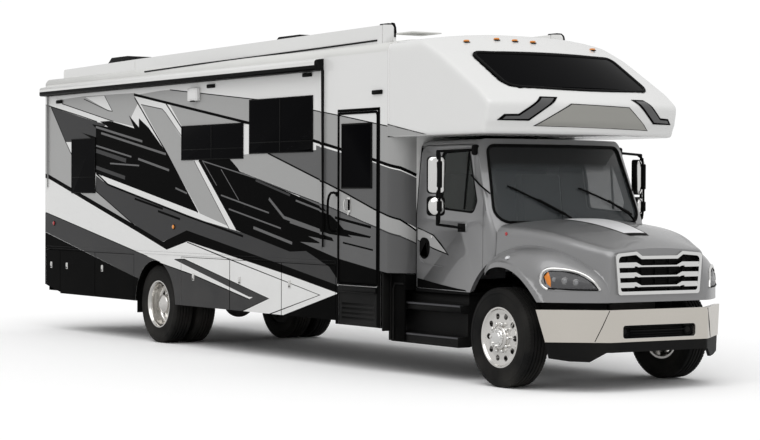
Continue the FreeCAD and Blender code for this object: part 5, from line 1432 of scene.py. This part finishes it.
PLATE = [(-0.768, 2.655), (0.772, 2.636), (0.414, 2.872), (-0.368, 2.889)]
PLATE_FACE = [(-0.742, 2.662), (0.745, 2.643), (0.405, 2.865), (-0.36, 2.881)]
CHEVRON = [(1.163, 2.708), (1.093, 2.772), (0.946, 2.775), (0.689, 2.957), (0.488, 2.955), (0.827, 2.706)]
CHEVRON_FACE = [(1.105, 2.722), (1.075, 2.752), (0.938, 2.755), (0.681, 2.938), (0.548, 2.936), (0.838, 2.726)]
BADGES = [("badge_border", PLATE, 1, 0.003, "gasket", 0.02), ("badge_plate", PLATE_FACE, 1, 0.0075, "badge", 0.02)]
for hand, side in HANDS.items():
    BADGES += [(f"chevron_border_{hand}", CHEVRON, side, 0.004, "black", 0.015),
               (f"chevron_face_{hand}", CHEVRON_FACE, side, 0.0085, "grey", 0.015)]
for name, shape, side, lift, coat, step in BADGES:
    draped(name, "coach", [(side * y, z) for y, z in shape], on_cap(lift), coat, "cap_shell", (0.04, step),
           (1, 0, 0.2))

# %% [markdown]
# The cap's window sits in a rubber seal; a rounded joint closes the cap
# against the house; and the scheme's first stripe starts on the cap's lower
# corner, where it is draped from the side.

# %% The cap's window seal, its joint and the corner stripe
bow = [y * 0.15 for y in range(-5, 6)]
loop = rounded([(4.08, -0.95, 0.06)] + [(4.26 - 0.18 * (y / 0.95) ** 2, y) for y in bow] +
               [(4.08, 0.95, 0.06), (4.74, 0.94, 0.17)] +
               [(4.925 - 0.185 * (y / 0.94) ** 2, y) for y in bow[::-1]] + [(4.74, -0.94, 0.17)])
spots = []
for x, y in along(loop, 0.05):
    above = (4.45 + (x - 4.45) * (0.985 if x < 4.6 else 0.955), y * 0.99, 5)
    spots.append(drop("cabover_window", above, (0, 0, -1), 0.001) or drop("cabover_cap", above, (0, 0, -1), 0.001))
pane = Piece("cap_window_seal", "coach", "gasket")
seal_loop(pane, spots, 0.022)
pane.done("cap_shell")
HALF_JOINT = [(-1.258, 2.585), (-1.258, 3.0), (-1.258, 3.50), (-1.246, 3.565), (-1.192, 3.597), (-0.6, 3.659)]
joint = Piece("cap_joint", "coach", "gelcoat")
joint.tube([(3.002, y, z) for y, z in HALF_JOINT + [(0, 3.678)] + [(-y, z) for y, z in HALF_JOINT[::-1]]], 0.0125,
           sides=10)
joint.done("cap_shell")
CORNER = [(3.005, 2.584), (3.768, 2.584), (3.005, 2.711)]
CORNER_LINE = [(3.005, 2.705), (3.70, 2.589), (3.74, 2.589), (3.005, 2.717)]


def on_cap_side(side):
    return lambda x, z: drop("cabover_cap", (x, side * 3, z), (0, -side, 0), 0.004)


for hand, side in HANDS.items():
    for label, shape, coat in (("film", CORNER, "silver"), ("line", CORNER_LINE, "black")):
        draped(f"cap_corner_{label}_{hand}", "coach", shape, on_cap_side(side), coat, "cap_shell", (0.05, 0.03),
               (0, side, 0))

# %% [markdown]
# Five amber lamps stand on the cap's brow, as the law asks of wide
# vehicles. The roof fairings end in black curved trims, and a dark tube
# along the roof edge behind the awning is painted shadow of the gap there.

# %% Clearance lamps and the fairings' edges
edge = Piece("fairing_edges", "coach", "plastic")
edge.tube([(2.70, -1.169, 3.816), (2.86, -1.169, 3.815), (2.935, -1.169, 3.806), (2.972, -1.169, 3.783),
           (2.986, -1.169, 3.745), (2.988, -1.169, 3.665)], 0.012, 0, 10, True)
# Painted shadow: a black tube along the roof edge, where the gap under each fairing lies in shade.
edge.tube([(-2.839, -1.262, 3.570), (-1.352, -1.240, 3.597), (0.079, -1.189, 3.617), (1.459, -1.189, 3.632),
           (2.66, -1.189, 3.648)], 0.0105, mirror=True)
edge.done("black_plastic")
lights = Piece("clearance_lamps", "coach", "amber", "gasket")
for x, y in ((3.894, -0.468), (3.946, -0.264), (3.977, -0.044), (3.906, 0.84), (3.86, -0.84)):
    spot = drop("cabover_cap", (x, y, 5), (0, 0, -1), -0.002)
    lights.block((spot.x - 0.03, spot.x + 0.03), (y - 0.032, y + 0.032), (spot.z - 0.004, spot.z + 0.006), 1, 0.003)
    lights.block((spot.x - 0.022, spot.x + 0.024), (y - 0.026, y + 0.026), (spot.z, spot.z + 0.026), 0, 0.009)
lights.done("lamp_lens")

# %% [markdown]
# The back carries the scheme's dark foot round the corner, a sealed window,
# lamp clusters with red, amber and clear parts, five red clearance lamps,
# a camera housing, a plate bracket and red reflectors on the bumper.

# %% The back of the house
BACK = -6.0
BACK_SCHEME = [("dark", 0, oblong(-1.27, 1.27, 0.63, 1.62)), ("black", 0, oblong(-1.27, 1.27, 0.63, 1.16)),
               ("silver", 0, [(-1.27, 2.02), (-0.66, 1.62), (0.66, 1.62), (1.27, 2.02), (1.27, 2.32), (0.74, 2.86),
                              (-0.74, 2.86), (-1.27, 2.32)]),
               ("black", 0.02, [(-1.27, 2.02), (-0.66, 1.62)]), ("black", 0.02, [(0.66, 1.62), (1.27, 2.02)]),
               ("black", 0.02, [(-1.27, 2.32), (-0.74, 2.86), (0.74, 2.86), (1.27, 2.32)])]
film("rear_wall-film", "coach", oblong(-1.268, 1.268, 0.642, WALL_TOP), lambda y, z: Vector((BACK - LIFT, y, z)),
     [oblong(-0.555, 0.555, 2.055, 2.695), oblong(-1.2, -1.06, 0.99, 1.51), oblong(1.06, 1.2, 0.99, 1.51)],
     scheme=BACK_SCHEME, out=(-1, 0, 0))


def behind(low, high):
    """From low to high behind the rear wall, as a range of X."""
    return BACK - high, BACK - low


back = Piece("rear_trim", "coach", "gasket", "red", "amber", "lamp", "chrome", "plastic")
for y, z in (((-0.585, 0.585), (2.025, 2.052)), ((-0.585, 0.585), (2.698, 2.725)), ((-0.585, -0.558), (2.025, 2.725)),
             ((0.558, 0.585), (2.025, 2.725))):
    back.block(behind(0.001, 0.014), y, z, 0, 0.005)
for side in (-1, 1):
    for z, lens in (((1.30, 1.485), 1), ((1.165, 1.29), 2), ((1.015, 1.155), 3)):
        back.block((-6.019, -6.012), (side * 1.085, side * 1.175), z, lens, 0.003)
    back.block((-6.0195, -6.017), (side * 0.98, side * 1.12), (0.69, 0.74), 1, 0.001)
for y in (-1.05, -0.22, 0.0, 0.22, 1.05):
    back.block(behind(0.001, 0.012), (y - 0.06, y + 0.06), (3.40, 3.44), 0, 0.004)
    back.block(behind(0.01, 0.018), (y - 0.045, y + 0.045), (3.407, 3.433), 1, 0.004)
back.block(behind(0.001, 0.018), (-0.07, 0.07), (3.20, 3.30), 5, 0.007)
back.turned((BACK - 0.012, 0, 3.25), (-1, 0, 0), [(0, 0.026), (0.005, 0.025), (0.0065, 0.016), (0.007, 0)], 0, 24)
back.block(behind(0.001, 0.008), (-0.17, 0.17), (0.84, 1.0), 5, 0.003)
back.block(behind(0.006, 0.016), (-0.05, 0.05), (1.01, 1.03), 4, 0.003)
for y in (-0.30, 0.30):
    back.rod((-6.018, y, 0.70), (-6.012, y, 0.70), 0.018, 4, 16)
back.done("black_plastic")

# %% [markdown]
# The roof's air units have cooling slats at both ends; vents have hinged
# lids; the fairings have rubber end caps.

# %% Roof details
roof_trim = Piece("roof_trim", "coach", "gasket", "plastic", "roof")
for x in (-5.44, -0.62):
    for z in (3.735 + k * 0.022 for k in range(6)):
        roof_trim.block((x - 0.3, x + 0.3), (-0.3425, -0.338), (z, z + 0.009), 0, 0.001, True)
for x, coat in ((-3.2, 1), (1.7, 2)):
    roof_trim.block((x - 0.21, x + 0.21), (-0.21, 0.21), (3.833, 3.848), coat, 0.006)
    roof_trim.block((x - 0.15, x - 0.12), (-0.06, 0.06), (3.846, 3.858), 1, 0.004)
roof_trim.tube([(2.90, -1.169, 3.775), (2.93, -1.169, 3.818), (2.965, -1.169, 3.812), (2.99, -1.169, 3.77),
                (3.0, -1.169, 3.71)], 0.012)
roof_trim.done("black_plastic")

# %% [markdown]
# The stage is a pale floor that fades into a pale background. A broad sky
# gives even light and a soft sun from the front right gives the panels
# their shape. Only camera, glossy and transmission rays see the pale
# background itself, so it never adds light to the paint.

# %% Floor, sky, sun and camera
def stage_floor(far=160):
    mesh = bpy.data.meshes.new("floor")
    mesh.from_pydata([(-far, -far, 0), (far, -far, 0), (far, far, 0), (-far, far, 0)], [], [(0, 1, 2, 3)])
    coat = Coat("floor_paint", metallic=0.0, specular_ior_level=0.0)
    seen = coat.node("ShaderNodeLightPath", out="Is Camera Ray")
    coat.feed(base_color=coat.blend(seen, (0.8, 0.8, 0.8, 1), (1.13, 1.13, 1.13, 1)),
              roughness=0.9 + coat.noise(0.2) * 0.05)
    mesh.materials.append(coat.material)
    floor = linked("floor", mesh)


def sky():
    world = bpy.data.worlds.new("sky")
    bpy.context.scene.world = world
    world.use_nodes = True
    graph = Graph(world.node_tree)
    seen, mirrored, through = [graph.node("ShaderNodeLightPath", out=f"Is {ray} Ray")
                               for ray in ("Camera", "Glossy", "Transmission")]
    backdrop = world.node_tree.nodes["Background"]
    graph.put(backdrop.inputs["Color"], (1, 1, 1, 1))
    graph.put(backdrop.inputs["Strength"], 0.62 + seen * 0.4 + mirrored * 0.14 + through * 0.14)


def sun(strength, spread, turn):
    lamp = bpy.data.lights.new("sun", "SUN")
    lamp.energy, lamp.angle = strength, math.radians(spread)
    linked("sun", lamp).rotation_euler = [math.radians(t) for t in turn]


def camera(place, yaw, pitch, roll, lens):
    """A nearly level camera: yaw is measured from -X towards +Y."""
    yaw, pitch, roll = map(math.radians, (yaw, pitch, roll))
    look = Vector((-math.cos(yaw) * math.cos(pitch), math.sin(yaw) * math.cos(pitch), math.sin(pitch)))
    right = Vector((math.sin(yaw), math.cos(yaw), 0))
    right = right * math.cos(roll) + right.cross(look) * math.sin(roll)
    made = linked("camera", bpy.data.cameras.new("camera"))
    made.data.lens, made.data.sensor_width, made.data.clip_end = lens, 36, 500
    made.matrix_world = Matrix.Translation(place) @ Matrix((right, right.cross(look), -look)).transposed().to_4x4()
    bpy.context.scene.camera = made


stage_floor()
sky()
sun(1.2, 60, (34, 14, 25))
camera((21.59, -13.575, 1.919), 33.3, -0.63, 0.22, 97.2)
bpy.context.scene.view_settings.view_transform = "Standard"
print("stage, light and camera are in place")
